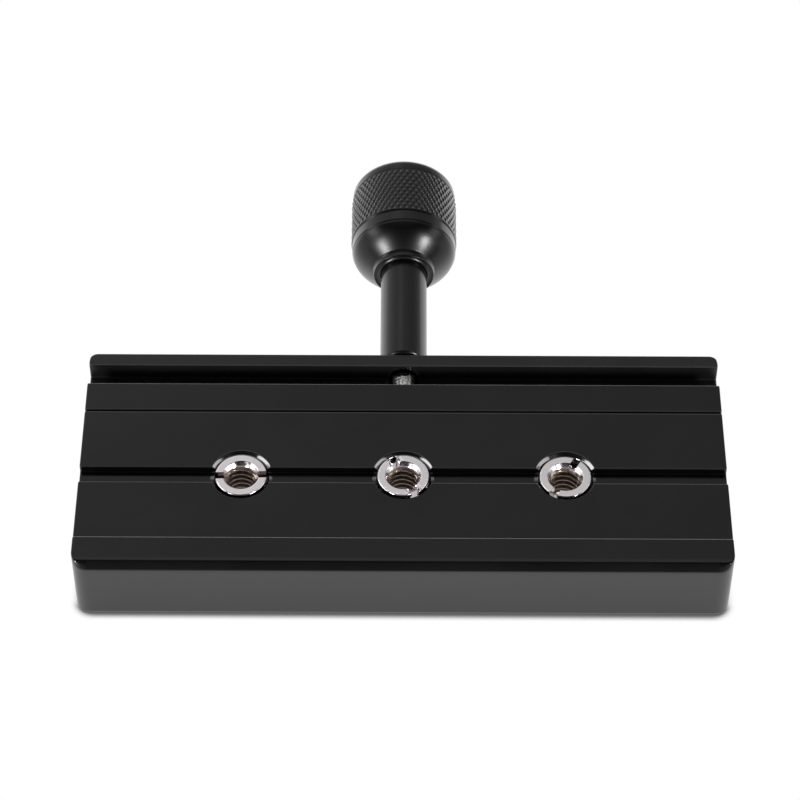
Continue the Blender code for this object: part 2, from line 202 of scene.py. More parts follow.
def resampled(profile: Array, spacing: float) -> Array:
    """Cut the long sides of an open profile into equal parts.

    Args:
        profile: the profile as (points, 2).
        spacing: the longest distance between neighbours.

    Returns:
        The profile with the added points.
    """
    lengths = np.linalg.norm(np.diff(profile, axis=0), axis=1)
    parts = np.maximum(np.ceil(lengths / spacing).astype(int), 1)
    side = np.repeat(np.arange(len(parts)), parts)
    first = np.concatenate([[0], np.cumsum(parts)[:-1]])
    share = (np.arange(parts.sum()) - first[side]) / parts[side]
    points = profile[side] + share[:, None] * (profile[side + 1] - profile[side])
    return np.concatenate([points, profile[-1:]])


def ripple(place: Array, seed: int, pitch: float, waves: int = 8) -> Array:
    """An uneven value of about -1 to 1 that comes out the same each time.

    Formula: the sum of sine waves with drawn directions, paces near the pitch and phases,
    divided by the square root of their number.

    Args:
        place: points as (..., dimensions).
        seed: start of the random draws.
        pitch: rough distance between crests.
        waves: number of waves.

    Returns:
        One value per point.
    """
    draw = np.random.default_rng(seed)
    direction = draw.normal(size=(waves, place.shape[-1]))
    direction /= np.linalg.norm(direction, axis=1, keepdims=True)
    pace = TURN / pitch * draw.uniform(0.6, 1.7, waves)
    phase = draw.uniform(0.0, TURN, waves)
    return np.sin(place @ (direction * pace[:, None]).T + phase).sum(-1) / math.sqrt(waves)


def eased(value: Array, start: float, end: float) -> Array:
    """A smooth step from 0 at start to 1 at end: 3 t^2 - 2 t^3."""
    t = np.clip((value - start) / (end - start), 0.0, 1.0)
    return t * t * (3.0 - 2.0 * t)


def saw(phase: Array) -> Array:
    """Straight flanks, 1 at whole phases and 0 half way between."""
    return np.abs(2.0 * (phase - np.floor(phase)) - 1.0)


def round_angles(columns: int) -> Array:
    """Angles of the columns of a turned surface, as one row."""
    return np.linspace(0.0, TURN, columns, endpoint=False)[None, :]


def open_rounded(profile: list[tuple[float, float]], reach: float, steps: int = 4) -> Array:
    """Round the inner corners of an open profile, and keep its two ends.

    Args:
        profile: (radius, height) points.
        reach: how far each rounding goes along the sides.
        steps: points per corner.

    Returns:
        The rounded profile.
    """
    corners = np.array(profile)
    curves = rounded(corners, reach, steps)[steps:-steps]
    return np.concatenate([corners[:1], curves, corners[-1:]])


def bar_profile(box: Box, chamfer: float) -> list[tuple[float, float]]:
    """The profile of a round bar along Y with chamfered ends.

    Args:
        box: the bar's box.
        chamfer: width of the chamfers.

    Returns:
        (radius, y) points.
    """
    radius, low, high = half_width(box), box[0].y, box[1].y
    near = [(NEAR_ZERO, low), (radius - chamfer, low), (radius, low + chamfer)]
    return near + [(radius, high - chamfer), (radius - chamfer, high), (NEAR_ZERO, high)]


def grid_faces(rows: int, columns: int, rows_closed: bool) -> list[list[int]]:
    """Corner numbers of the quads of a grid whose columns run round.

    Args:
        rows: rows of vertices.
        columns: vertices in a row.
        rows_closed: whether the last row joins the first, as on a ring.

    Returns:
        The quads, and without closed rows a cap at either end.
    """
    i, j = np.meshgrid(np.arange(rows if rows_closed else rows - 1), np.arange(columns), indexing="ij")
    below, above, beside = i * columns, (i + 1) % rows * columns, (j + 1) % columns
    quads = np.stack([below + j, below + beside, above + beside, above + j], axis=-1)
    faces = quads.reshape(-1, 4).tolist()
    if not rows_closed:
        last = (rows - 1) * columns
        faces += [list(range(columns))[::-1], list(range(last, last + columns))]
    return faces


@dataclass
class Solid:
    """A closed mesh in the making."""

    points: Array
    faces: list[list[int]]

    @classmethod
    def from_grid(cls, points: Array, rows_closed: bool = False) -> "Solid":
        """A solid from points as (rows, columns, 3), whose columns run round."""
        rows, columns = points.shape[:2]
        return cls(points.reshape(-1, 3), grid_faces(rows, columns, rows_closed))

    @classmethod
    def turned(cls, axis: Axis, profile: Array, columns: int) -> "Solid":
        """A solid from (radius, height) points that go round an axis."""
        return cls.from_grid(axis.place(profile[:, :1], profile[:, 1:], round_angles(columns)))

    @classmethod
    def joined(cls, solids: list["Solid"]) -> "Solid":
        """Solids that don't touch, in one mesh."""
        starts = np.cumsum([0] + [len(solid.points) for solid in solids]).tolist()
        faces = [
            [corner + start for corner in face] for solid, start in zip(solids, starts) for face in solid.faces
        ]
        return cls(np.concatenate([solid.points for solid in solids]), faces)

    def mesh(self, name: str) -> bpy.types.Mesh:
        """The mesh, with its faces turned outwards.

        Args:
            name: name of the mesh.

        Returns:
            The new mesh.
        """
        made = bpy.data.meshes.new(name)
        made.from_pydata(self.points.tolist(), [], self.faces)
        shape = bmesh.new()
        shape.from_mesh(made)
        bmesh.ops.recalc_face_normals(shape, faces=shape.faces)
        shape.to_mesh(made)
        shape.free()
        return made

    def cut(self, tool: "Solid", name: str) -> bpy.types.Mesh:
        """The mesh of this solid with another taken away.

        Args:
            tool: the cutting solid.
            name: name of the mesh.

        Returns:
            The new mesh.
        """
        piece = bpy.data.objects.new(name, self.mesh(name))
        cutter = bpy.data.objects.new(f"{name}_cutter", tool.mesh(f"{name}_cutter"))
        for made in (piece, cutter):
            bpy.context.scene.collection.objects.link(made)
        step = piece.modifiers.new("cut", "BOOLEAN")
        step.operation = "DIFFERENCE"
        step.solver = "EXACT"
        step.object = cutter
        evaluated = piece.evaluated_get(bpy.context.evaluated_depsgraph_get())
        result = bpy.data.meshes.new_from_object(evaluated)
        for made in (piece, cutter):
            mesh = made.data
            bpy.data.objects.remove(made)
            bpy.data.meshes.remove(mesh)
        return result


@dataclass
class Dresser:
    """Turns meshes into finished pieces of the clamp."""

    triangles: int = 0

    def piece(
        self,
        name: str,
        mesh: bpy.types.Mesh,
        material: bpy.types.Material,
        body: Body | None,
        slot: Slot,
        *nodes: str,
        sharp: float = 35.0,
    ) -> bpy.types.Object:
        """Make a piece that stands for CAD nodes.

        Args:
            name: name of the piece.
            mesh: its final mesh.
            material: its finish.
            body: the body that it rides on, or None where it stays unattached.
            slot: the record's slot of its finish; not used.
            *nodes: the CAD nodes that it replaces.
            sharp: angle in degrees above which an edge stays crisp.

        Returns:
            The new object.
        """
        mesh.name = name
        mesh.materials.clear()
        mesh.materials.append(material)
        mesh.shade_smooth()
        mesh.set_sharp_from_angle(angle=math.radians(sharp))
        made = bpy.data.objects.new(name, mesh)
        bpy.context.scene.collection.objects.link(made)
        weighted = made.modifiers.new("face_weighted_normals", "WEIGHTED_NORMAL")
        weighted.keep_sharp = True
        if body is not None:
            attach(made, body.value)
        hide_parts(*nodes)
        count = sum(len(face.vertices) - 2 for face in mesh.polygons)
        self.triangles += count
        log.info("%s: %d triangles, for %s", name, count, ", ".join(nodes))
        return made


# ---- materials ----


def rgba(colour: Triple, gain: float = 1.0) -> Rgba:
    """The colour times a gain, with full opacity."""
    return (*(gain * part for part in colour), 1.0)


@dataclass
class Wiring:
    """Places and joins the nodes of one node tree."""

    tree: bpy.types.NodeTree

    def feed(self, node: bpy.types.Node, inputs: dict) -> None:
        """Set or link the inputs of a node.

        Args:
            node: the node.
            inputs: values or sockets by the name or number of the input.
        """
        for key, value in inputs.items():
            if isinstance(value, Socket):
                self.tree.links.new(value, node.inputs[key])
            else:
                node.inputs[key].default_value = value

    def node(self, kind: str, inputs: dict | None = None, **settings: object) -> bpy.types.Node:
        """Add a node.

        Args:
            kind: Blender's name of the node's type.
            inputs: values or sockets by the name or number of the input.
            **settings: properties of the node.

        Returns:
            The new node.
        """
        made = self.tree.nodes.new(kind)
        for name, value in settings.items():
            setattr(made, name, value)
        self.feed(made, inputs or {})
        return made

    def maths(self, operation: str, *values: object, clamp: bool = False) -> Socket:
        """The result of a Math node on values or sockets."""
        return self.node("ShaderNodeMath", dict(enumerate(values)), operation=operation, use_clamp=clamp).outputs[0]

    def times(self, first: object, second: object) -> Socket:
        """The product of two values."""
        return self.maths("MULTIPLY", first, second)

    def largest(self, values: list[Socket]) -> Socket:
        """The largest of several values.

        Args:
            values: one socket or more.

        Returns:
            The result.
        """
        found = values[0]
        for value in values[1:]:
            found = self.maths("MAXIMUM", found, value)
        return found

    def span(self, value: object, low: float, high: float, to_low: float, to_high: float) -> Socket:
        """The value's place between low and high, carried over smoothly to two other numbers.

        Args:
            value: the socket to read.
            low: value that gives to_low.
            high: value that gives to_high.
            to_low: result at low and before it.
            to_high: result at high and beyond it.

        Returns:
            The result.
        """
        inputs = {"Value": value, "From Min": low, "From Max": high, "To Min": to_low, "To Max": to_high}
        return self.node("ShaderNodeMapRange", inputs, interpolation_type="SMOOTHSTEP").outputs["Result"]

    def noise(self, place: Socket, scale: object, detail: float = 2.0, roughness: float = 0.5) -> Socket:
        """The value of a noise at a place."""
        inputs = {"Vector": place, "Scale": scale, "Detail": detail, "Roughness": roughness}
        return self.node("ShaderNodeTexNoise", inputs).outputs["Fac"]

    def blend(self, share: object, first: object, second: object) -> Socket:
        """Two colours mixed by a share."""
        return self.node("ShaderNodeMix", {0: share, 6: first, 7: second}, data_type="RGBA").outputs[2]

    def choice(self, share: object, first: object, second: object) -> Socket:
        """Two numbers mixed by a share."""
        return self.node("ShaderNodeMix", {0: share, 2: first, 3: second}, data_type="FLOAT").outputs[0]

    def place(self, kind: str = "Object") -> Socket:
        """The surface's own place, or another texture coordinate."""
        return self.node("ShaderNodeTexCoord").outputs[kind]

    def parts(self, place: Socket) -> bpy.types.bpy_prop_collection:
        """The X, Y and Z of a place."""
        return self.node("ShaderNodeSeparateXYZ", {0: place}).outputs

    def vector(self, x: object = 0.0, y: object = 0.0, z: object = 0.0) -> Socket:
        """The place with these parts."""
        return self.node("ShaderNodeCombineXYZ", {0: x, 1: y, 2: z}).outputs[0]

    def distance(self, place: Socket, other: Triple = (0.0, 0.0, 0.0)) -> Socket:
        """How far a place is from another."""
        return self.node("ShaderNodeVectorMath", {0: place, 1: other}, operation="DISTANCE").outputs["Value"]

    def bump(self, height: Socket, depth: float) -> Socket:
        """The normal of a surface with a fine relief."""
        return self.node("ShaderNodeBump", {"Height": height, "Distance": depth, "Strength": 1.0}).outputs[0]


def new_group(name: str, inputs: dict[str, float], outputs: list[str]) -> tuple[Wiring, dict[str, Socket]]:
    """A shader node group whose first input is Place.

    Args:
        name: name of the group.
        inputs: names and starting values of its number inputs.
        outputs: names of its number outputs.

    Returns:
        The group's wiring and what its input node gives.
    """
    tree = bpy.data.node_groups.new(name, "ShaderNodeTree")
    tree.interface.new_socket("Place", in_out="INPUT", socket_type="NodeSocketVector")
    for key, value in inputs.items():
        socket = tree.interface.new_socket(key, in_out="INPUT", socket_type="NodeSocketFloat")
        socket.default_value = value
    for key in outputs:
        tree.interface.new_socket(key, in_out="OUTPUT", socket_type="NodeSocketFloat")
    wiring = Wiring(tree)
    return wiring, wiring.node("NodeGroupInput").outputs


def blasted_grain() -> bpy.types.NodeTree:
    """Fine blasted grain with faint cloudy patches, for anodised surfaces.

    Returns:
        The group, with Height and Patch as its outputs.
    """
    wiring, given = new_group("blasted_grain", {"Grain": 9000.0, "Cloud": 60.0}, ["Height", "Patch"])
    fine = wiring.noise(given["Place"], given["Grain"], 3.0, 0.6)
    cloud = wiring.noise(given["Place"], given["Cloud"], 4.0, 0.55)
    wiring.node("NodeGroupOutput", {"Height": fine, "Patch": wiring.span(cloud, 0.3, 0.7, 0.0, 1.0)})
    return wiring.tree


def turned_marks() -> bpy.types.NodeTree:
    """Fine rings that a lathe tool leaves about the Z axis of the place.

    Formula: a noise that depends only on the distance from the axis and on z.

    Returns:
        The group, with Height as its output.
    """
    wiring, given = new_group("turned_marks", {"Rings": 9000.0}, ["Height"])
    x, y, z = wiring.parts(given["Place"])
    line = wiring.vector(wiring.distance(wiring.vector(x, y)), 0.0, z)
    wiring.node("NodeGroupOutput", {"Height": wiring.noise(line, given["Rings"], 2.0, 0.7)})
    return wiring.tree


class Effects:
    """The node groups that several finishes share."""

    def __init__(self) -> None:
        """Build each group once."""
        self.grain = blasted_grain()
        self.turning = turned_marks()


class Mask(ABC):
    """A part of a surface."""

    @abstractmethod
    def mask(self, wiring: Wiring, place: Socket) -> Socket:
        """Where the part is.

        Args:
            wiring: the material's wiring.
            place: the surface's place.

        Returns:
            Its strength, 0 elsewhere.
        """


@dataclass(frozen=True)
class HoleMouths(Mask):
    """The flared mouths of three holes in a row along X, polished on the halves towards the rail."""

    line: float
    pitch: float
    radius: float
    fade: float = 0.05 * MM
    half_fade: float = 0.5 * MM

    def mask(self, wiring: Wiring, place: Socket) -> Socket:
        """Where the mouths are.

        Formula: x less the nearest hole's x, with y less the row's y, gives the distance
        from the hole's axis. The mask falls from 1 to 0 at the radius, and again from the
        halves towards the rail to those towards the front.

        Args:
            wiring: the material's wiring.
            place: the surface's place.

        Returns:
            Its strength, 0 elsewhere.
        """
        x, y, _ = wiring.parts(place)
        kept = wiring.node("ShaderNodeClamp", {"Value": x, "Min": -self.pitch, "Max": self.pitch})
        nearest = wiring.maths("ROUND", wiring.maths("DIVIDE", kept.outputs[0], self.pitch))
        across = wiring.maths("SUBTRACT", x, wiring.times(nearest, self.pitch))
        along = wiring.maths("SUBTRACT", y, self.line)
        away = wiring.distance(wiring.vector(across, along))
        within = wiring.span(away, self.radius, self.radius + self.fade, 1.0, 0.0)
        return wiring.times(within, wiring.span(along, -self.half_fade, self.half_fade, 0.0, 1.0))


@dataclass(frozen=True)
class FrontWall(Mask):
    """The plate's front wall, up to its chamfer."""

    y: float
    top: float
    share: float = 0.19
    depth: float = 3.0 * MM
    fade: float = 0.2 * MM

    def mask(self, wiring: Wiring, place: Socket) -> Socket:
        """Where the wall is."""
        _, y, z = wiring.parts(place)
        wall = wiring.span(y, self.y + self.depth, self.y + self.depth + 0.3 * MM, self.share, 0.0)
        return wiring.times(wall, wiring.span(z, self.top - self.fade, self.top, 1.0, 0.0))


@dataclass(frozen=True)
class Sheen(Mask):
    """The parts of a surface that are seen at a low angle."""

    share: float
    start: float = 0.28
    end: float = 0.6

    def mask(self, wiring: Wiring, place: Socket) -> Socket:
        """Where the surface turns away."""
        facing = wiring.node("ShaderNodeLayerWeight", {"Blend": 0.5}).outputs["Facing"]
        return wiring.span(facing, self.start, self.end, 0.0, self.share)


@dataclass(frozen=True)
class HighlitEdge(Mask):
    """An edge along X with a painted highlight: a lighter colour along it that stands in for the light its rounding
    catches.
    """

    y: float
    z: float
    share: float
    start: float = 0.12 * MM
    end: float = 0.26 * MM

    def mask(self, wiring: Wiring, place: Socket) -> Socket:
        """How strong the painted highlight is: its share within the start, and 0 from the end on."""
        _, y, z = wiring.parts(place)
        away = wiring.distance(wiring.vector(0.0, y, z), (0.0, self.y, self.z))
        return wiring.span(away, self.start, self.end, self.share, 0.0)


@dataclass(frozen=True)
class Scuffs(Mask):
    """Specks where a thread has rubbed through to bare metal."""

    centre: Triple
    reach: float
    specks: float = 2200.0
    threshold: float = 0.50

    def mask(self, wiring: Wiring, place: Socket) -> Socket:
        """Where the bare specks are: a noise above its middle, near the centre."""
        close = wiring.span(wiring.distance(place, self.centre), 0.6 * self.reach, self.reach, 1.0, 0.0)
        noise = wiring.noise(place, self.specks, 3.0, 0.6)
        speck = wiring.span(noise, self.threshold, self.threshold + 0.06, 0.0, 1.0)
        return wiring.maths("MULTIPLY", close, speck, clamp=True)


@dataclass(frozen=True)
class Finish(ABC):
    """A finish, which builds its own material."""

    name: str

    @abstractmethod
    def inputs(self, wiring: Wiring, place: Socket, effects: Effects) -> dict[str, object]:
        """What goes into the shader.

        Args:
            wiring: the material's wiring.
            place: the surface's place.
            effects: the shared node groups.

        Returns:
            Values or sockets by the name of the shader's input.
        """

    def material(self, effects: Effects) -> bpy.types.Material:
        """Build the material.

        Args:
            effects: the shared node groups.

        Returns:
            The material.
        """
        made = bpy.data.materials.new(self.name)
        made.use_nodes = True
        wiring = Wiring(made.node_tree)
        inputs = self.inputs(wiring, wiring.place(), effects)
        wiring.feed(made.node_tree.nodes["Principled BSDF"], inputs)
        return made


@dataclass(frozen=True)
class Anodised(Finish):
    """Satin black anodised aluminium, with glossier parts, painted edge highlights and bare specks."""

    colour: Triple = (0.0014, 0.0014, 0.0015)
    cloud_gain: float = 1.25
    roughness: float = 0.26
    uneven: float = 0.03
    ior: float = 1.5
    grain_depth: float = 0.0012 * MM
    mouths: HoleMouths | None = None
    coats: tuple[Mask, ...] = ()
    coat_ior: float = 1.5
    coat_roughness: float = 0.13
    # painted highlights: each edge's mask lightens the black towards a light grey, in place of the light line along it
    edges: tuple[HighlitEdge, ...] = ()
    edge_highlight_colour: Triple = (0.50, 0.50, 0.51)
    scuffs: Scuffs | None = None
    bare_colour: Triple = (0.62, 0.60, 0.58)

    def inputs(self, wiring: Wiring, place: Socket, effects: Effects) -> dict[str, object]:
        """What goes into the shader.

        Formula: the largest of the coats' masks is the clear coat's weight, and the largest of the edges' masks is how
        far the painted highlight colour covers the black.

        Args:
            wiring: the material's wiring.
            place: the surface's place.
            effects: the shared node groups.

        Returns:
            Values or sockets by the name of the shader's input.
        """
        grain = wiring.node("ShaderNodeGroup", {"Place": place}, node_tree=effects.grain).outputs
        patch = grain["Patch"]
        roughness = wiring.span(patch, 0.0, 1.0, self.roughness - self.uneven, self.roughness + self.uneven)
        colour = wiring.blend(patch, rgba(self.colour), rgba(self.colour, self.cloud_gain))
        found = {"IOR": self.ior, "Normal": wiring.bump(grain["Height"], self.grain_depth)}
        if self.scuffs is not None:
            found["Metallic"] = self.scuffs.mask(wiring, place)
            colour = wiring.blend(found["Metallic"], colour, rgba(self.bare_colour))
        if self.edges:
            # painted highlight along the listed edges
            edge_highlight = wiring.largest([edge.mask(wiring, place) for edge in self.edges])
            colour = wiring.blend(edge_highlight, colour, rgba(self.edge_highlight_colour))
        coats = [part.mask(wiring, place) for part in self.coats]
        if self.mouths is not None:
            polished = self.mouths.mask(wiring, place)
            coats.append(polished)
            roughness = wiring.times(roughness, wiring.maths("MULTIPLY_ADD", polished, -0.5, 1.0))
        if coats:
            found["Coat Weight"] = wiring.largest(coats)
            found["Coat IOR"] = self.coat_ior
            found["Coat Roughness"] = self.coat_roughness
        return found | {"Base Color": colour, "Roughness": roughness}


@dataclass(frozen=True)
class Plated(Finish):
    """Bright nickel plating, with a brown cast down in the thread and darker slot floors."""

    centre: Triple
    top: float
    slot_floor_darkening: float = 0.0
    colour: Triple = (0.93, 0.885, 0.905)
    cloud_scale: float = 700.0
    cloud_gain: float = 0.92
    deep_colour: Triple = (0.42, 0.33, 0.275)
    dark_floor_colour: Triple = (0.10, 0.062, 0.048)
    deep_metal: float = 0.55
    roughness: float = 0.16
    deep_from: float = 1.35 * MM
    shallow_to: float = 0.75 * MM
    bore: float = 3.2 * MM
    fade: float = 0.15 * MM
    mark_depth: float = 0.004 * MM

    def inputs(self, wiring: Wiring, place: Socket, effects: Effects) -> dict[str, object]:
        """What goes into the shader.

        Formula: what lies deep below the top is brown within the bore's radius, and turns dark brown outside it, on
        the slot's floor.

        Args:
            wiring: the material's wiring.
            place: the surface's place.
            effects: the shared node groups.

        Returns:
            Values or sockets by the name of the shader's input.
        """
        local = wiring.node("ShaderNodeMapping", {"Vector": place, "Location": [-c for c in self.centre]}).outputs[0]
        x, y, z = wiring.parts(local)
        deep = wiring.span(z, self.top - self.deep_from, self.top - self.shallow_to, 1.0, 0.0)
        radius = wiring.distance(wiring.vector(x, y))
        limits = (self.bore, self.bore + self.fade)
        # the slot's floor, deep below the top, is darkened towards dark brown
        floor = wiring.times(deep, wiring.span(radius, *limits, 0.0, self.slot_floor_darkening))
        deep = wiring.times(deep, wiring.span(radius, *limits, 1.0, 0.0))
        cloud = wiring.span(wiring.noise(place, self.cloud_scale, 4.0, 0.6), 0.35, 0.65, 0.0, 1.0)
        colour = wiring.blend(cloud, rgba(self.colour), rgba(self.colour, self.cloud_gain))
        colour = wiring.blend(deep, colour, rgba(self.deep_colour))
        marks = wiring.node("ShaderNodeGroup", {"Place": local}, node_tree=effects.turning)
        return {
            "Base Color": wiring.blend(floor, colour, rgba(self.dark_floor_colour)),
            "Roughness": wiring.span(cloud, 0.0, 1.0, self.roughness - 0.05, self.roughness + 0.06),
            "Metallic": wiring.maths("MULTIPLY_ADD", deep, self.deep_metal - 1.0, 1.0),
            "Normal": wiring.bump(marks.outputs["Height"], self.mark_depth),
        }


@dataclass(frozen=True)
class BareSteel(Finish):
    """Bare steel with uneven bright and dull specks, and a painted shadow of the rail on its far part."""

    colour: Triple = (0.60, 0.59, 0.57)
    dull_colour: Triple = (0.14, 0.135, 0.13)
    # painted shade: a near black that stands in for the rail's shadow on the screw
    rail_shadow_colour: Triple = (0.03, 0.029, 0.028)
    roughness: float = 0.30
    specks: float = 2600.0
    speck_depth: float = 0.02 * MM
    dull_share: float = 0.5
    rail_shadow_from: float | None = None
    rail_shadow_slant: float = 0.86
    rail_shadow_scale: float = 1100.0
    rail_shadow_wander: float = 1.8 * MM
    rail_shadow_fade: float = 0.25 * MM

    def inputs(self, wiring: Wiring, place: Socket, effects: Effects) -> dict[str, object]:
        """What goes into the shader.

        Formula: the painted shadow lies where y + slant * z, plus a noise that wanders about its middle value, is past
        the place where it starts.

        Args:
            wiring: the material's wiring.
            place: the surface's place.
            effects: the shared node groups; not used.

        Returns:
            Values or sockets by the name of the shader's input.
        """
        speck = wiring.noise(place, self.specks, 4.0, 0.65)
        limits = (0.62 - 0.25 * self.dull_share, 0.72 - 0.25 * self.dull_share)
        colour = wiring.blend(wiring.span(speck, *limits, 0.0, 1.0), rgba(self.colour), rgba(self.dull_colour))
        # painted shadow of the rail, darkening the screw near the rail
        if self.rail_shadow_from is not None:
            _, y, z = wiring.parts(place)
            along = wiring.maths("MULTIPLY_ADD", z, self.rail_shadow_slant, y)
            wander = wiring.noise(place, self.rail_shadow_scale)
            along = wiring.maths("MULTIPLY_ADD", wander, self.rail_shadow_wander, along)
            start = self.rail_shadow_from + 0.5 * self.rail_shadow_wander
            painted_rail_shadow = wiring.span(along, start - self.rail_shadow_fade, start + self.rail_shadow_fade, 0.0, 1.0)
            colour = wiring.blend(painted_rail_shadow, colour, rgba(self.rail_shadow_colour))
        return {
            "Base Color": colour,
            "Roughness": wiring.span(speck, 0.3, 0.7, self.roughness - 0.08, self.roughness + 0.18),
            "Metallic": 1.0,
            "Normal": wiring.bump(speck, self.speck_depth),
        }


# ---- threads, knurl and bores ----


@dataclass(frozen=True)
class Thread:
    """A right-handed screw thread."""

    pitch: float
    inner: float
    outer: float
    root: float = 0.2
    flank: float = 0.65

    def radius(self, height: Array, angle: Array) -> Array:
        """Radius of the thread's surface.

        Formula: the phase is height / pitch - angle / (2 pi). The radius goes from outer at
        whole phases down to inner half way between, along straight flanks, with the root
        and the crest cut flat.

        Args:
            height: distance along the axis.
            angle: angle about the axis.

        Returns:
            The radius.
        """
        wave = saw(height / self.pitch - angle / TURN)
        return self.inner + (self.outer - self.inner) * np.clip((wave - self.root) / self.flank, 0.0, 1.0)


@dataclass(frozen=True)
class Knurl:
    """Crossed grooves that leave rows of small pyramids."""

    root: float
    crest: float
    teeth: int
    pitch: float
    blunt: float = 1.12

    def radius(self, height: Array, angle: Array) -> Array:
        """Radius of the knurled surface.

        Formula: each set of grooves has the phase teeth * angle / (2 pi) plus or minus
        height / pitch, and rises in straight flanks to its ridges half way between. The
        lower of the two sets shapes the metal, and its tips are cut blunt.

        Args:
            height: distance along the axis from the knurl's start.
            angle: angle about the axis.

        Returns:
            The radius.
        """
        turn, rise = self.teeth * angle / TURN, height / self.pitch
        lower = 1.0 - np.maximum(saw(turn + rise), saw(turn - rise))
        return self.root + (self.crest - self.root) * np.clip(self.blunt * lower, 0.0, 1.0)


@dataclass(frozen=True)
class Bore:
    """A hole along Y from its mouth to its end, with flared mouths."""

    x: float
    z: float
    radius: float
    mouth: float
    end: float
    flare: float
    spill: float = 0.1 * MM
    through: bool = False
    cone: float = 0.3
    rounding: float = 0.1 * MM
    columns: int = 48

    def tool(self) -> Solid:
        """The tool that cuts the hole.

        Formula: the profile runs straight from one flared mouth to the other, or to a cone
        at the blind end. It is listed towards +Y and goes round the axis.

        Returns:
            The closed tool.
        """
        inward = math.copysign(1.0, self.end - self.mouth)
        radius, wide, tip = self.radius, self.radius + self.flare + self.spill, self.cone * self.radius
        profile = [(wide, self.mouth - inward * self.spill), (radius, self.mouth + inward * self.flare)]
        if self.through:
            profile += [(radius, self.end - inward * self.flare), (wide, self.end + inward * self.spill)]
        else:
            profile += [(radius, self.end), (tip, self.end + inward * tip)]
        profile.sort(key=lambda point: point[1])
        return Solid.turned(Axis((self.x, 0.0, self.z)), open_rounded(profile, self.rounding), self.columns)


# ---- the long machined pieces ----


@dataclass(frozen=True)
class Dovetail:
    """The 45 degree dovetail of both jaws."""

    height: float = 6.0 * MM
    wall: float = 1.4 * MM
    nose: float = 0.6 * MM

    @property
    def run(self) -> float:
        """How far a jaw reaches in under the plate that it holds."""
        return self.height - self.wall - self.nose


@dataclass
class LongPiece(ABC):
    """A machined bar along X with rounded upright corners on its outer face."""

    name: str
    node: str
    body: Body
    corner_radius: float
    edge: float = 0.28 * MM
    foot_chamfer: float = 1.0 * MM
    seat_gap: float = 0.3 * MM
    dovetail: Dovetail = Dovetail()
    corner_steps: int = 14
    edge_steps: int = 6
    curve_steps: int = 7

    @property
    def box(self) -> Box:
        """The CAD node's box."""
        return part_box(self.node)

    @property
    def screw_z(self) -> float:
        """Height of the clamping screw's axis."""
        return middle(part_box("clamp_screw")).z

    @abstractmethod
    def corners(self, step_back: Array) -> list[tuple[Array | float, Array | float]]:
        """The corners of the cross-sections.

        Args:
            step_back: how far the outer face stands back at each station along X.

        Returns:
            y and z of each corner, anticlockwise seen from +X, as one number for all
            stations or as one per station.
        """

    @abstractmethod
    def tools(self) -> list[Solid]:
        """The tools that cut the piece's holes."""

    @abstractmethod
    def finish(self) -> Anodised:
        """The piece's coat."""

    def reach(self, count: int) -> Array:
        """How far each corner is rounded, on the side before and the side after."""
        return np.full((count, 2), self.edge)

    def stations(self) -> tuple[Array, Array, Array]:
        """Where the cross-sections stand along X.

        Formula: in the corner, x = half_length - R + R sin(angle), and the outer face steps
        back by R - sqrt(R^2 - (x - half_length + R)^2). In the last edge width, x follows a
        quarter circle, and the outline shrinks by edge * (1 - cos(angle)).

        Returns:
            x, the step back of the outer face and the shrinking of the outline.
        """
        length, radius, edge = self.box[1].x, self.corner_radius, self.edge
        corner = np.linspace(0.0, math.asin((radius - edge) / radius), self.corner_steps)
        turn = np.linspace(0.0, math.pi / 2, self.edge_steps)[1:]
        x = np.concatenate([length - radius + radius * np.sin(corner), length - edge + edge * np.sin(turn)])
        shrink = np.concatenate([np.zeros(self.corner_steps), edge * (1.0 - np.cos(turn))])
        step_back = radius - np.sqrt(np.maximum(radius**2 - (x - length + radius) ** 2, 0.0))
        return tuple(np.concatenate([sign * v[::-1], v]) for v, sign in ((x, -1), (step_back, 1), (shrink, 1)))

    def build(self, dresser: Dresser, effects: Effects) -> None:
        """Build the bar, cut its holes and dress it.

        Args:
            dresser: makes the finished piece.
            effects: the shared node groups.
        """
        x, step_back, shrink = self.stations()
        flat = [np.broadcast_to(v, x.shape) for corner in self.corners(step_back) for v in corner]
        corners = np.stack(flat, axis=-1).reshape(len(x), -1, 2)
        outlines = rounded(inset(corners, shrink), self.reach(corners.shape[1]), self.curve_steps)
        across = np.broadcast_to(x[:, None, None], (*outlines.shape[:2], 1))
        bar = Solid.from_grid(np.concatenate([across, outlines], axis=-1))
        mesh = bar.cut(Solid.joined(self.tools()), self.name)
        dresser.piece(self.name, mesh, self.finish().material(effects), self.body, Slot.BLACK, self.node)


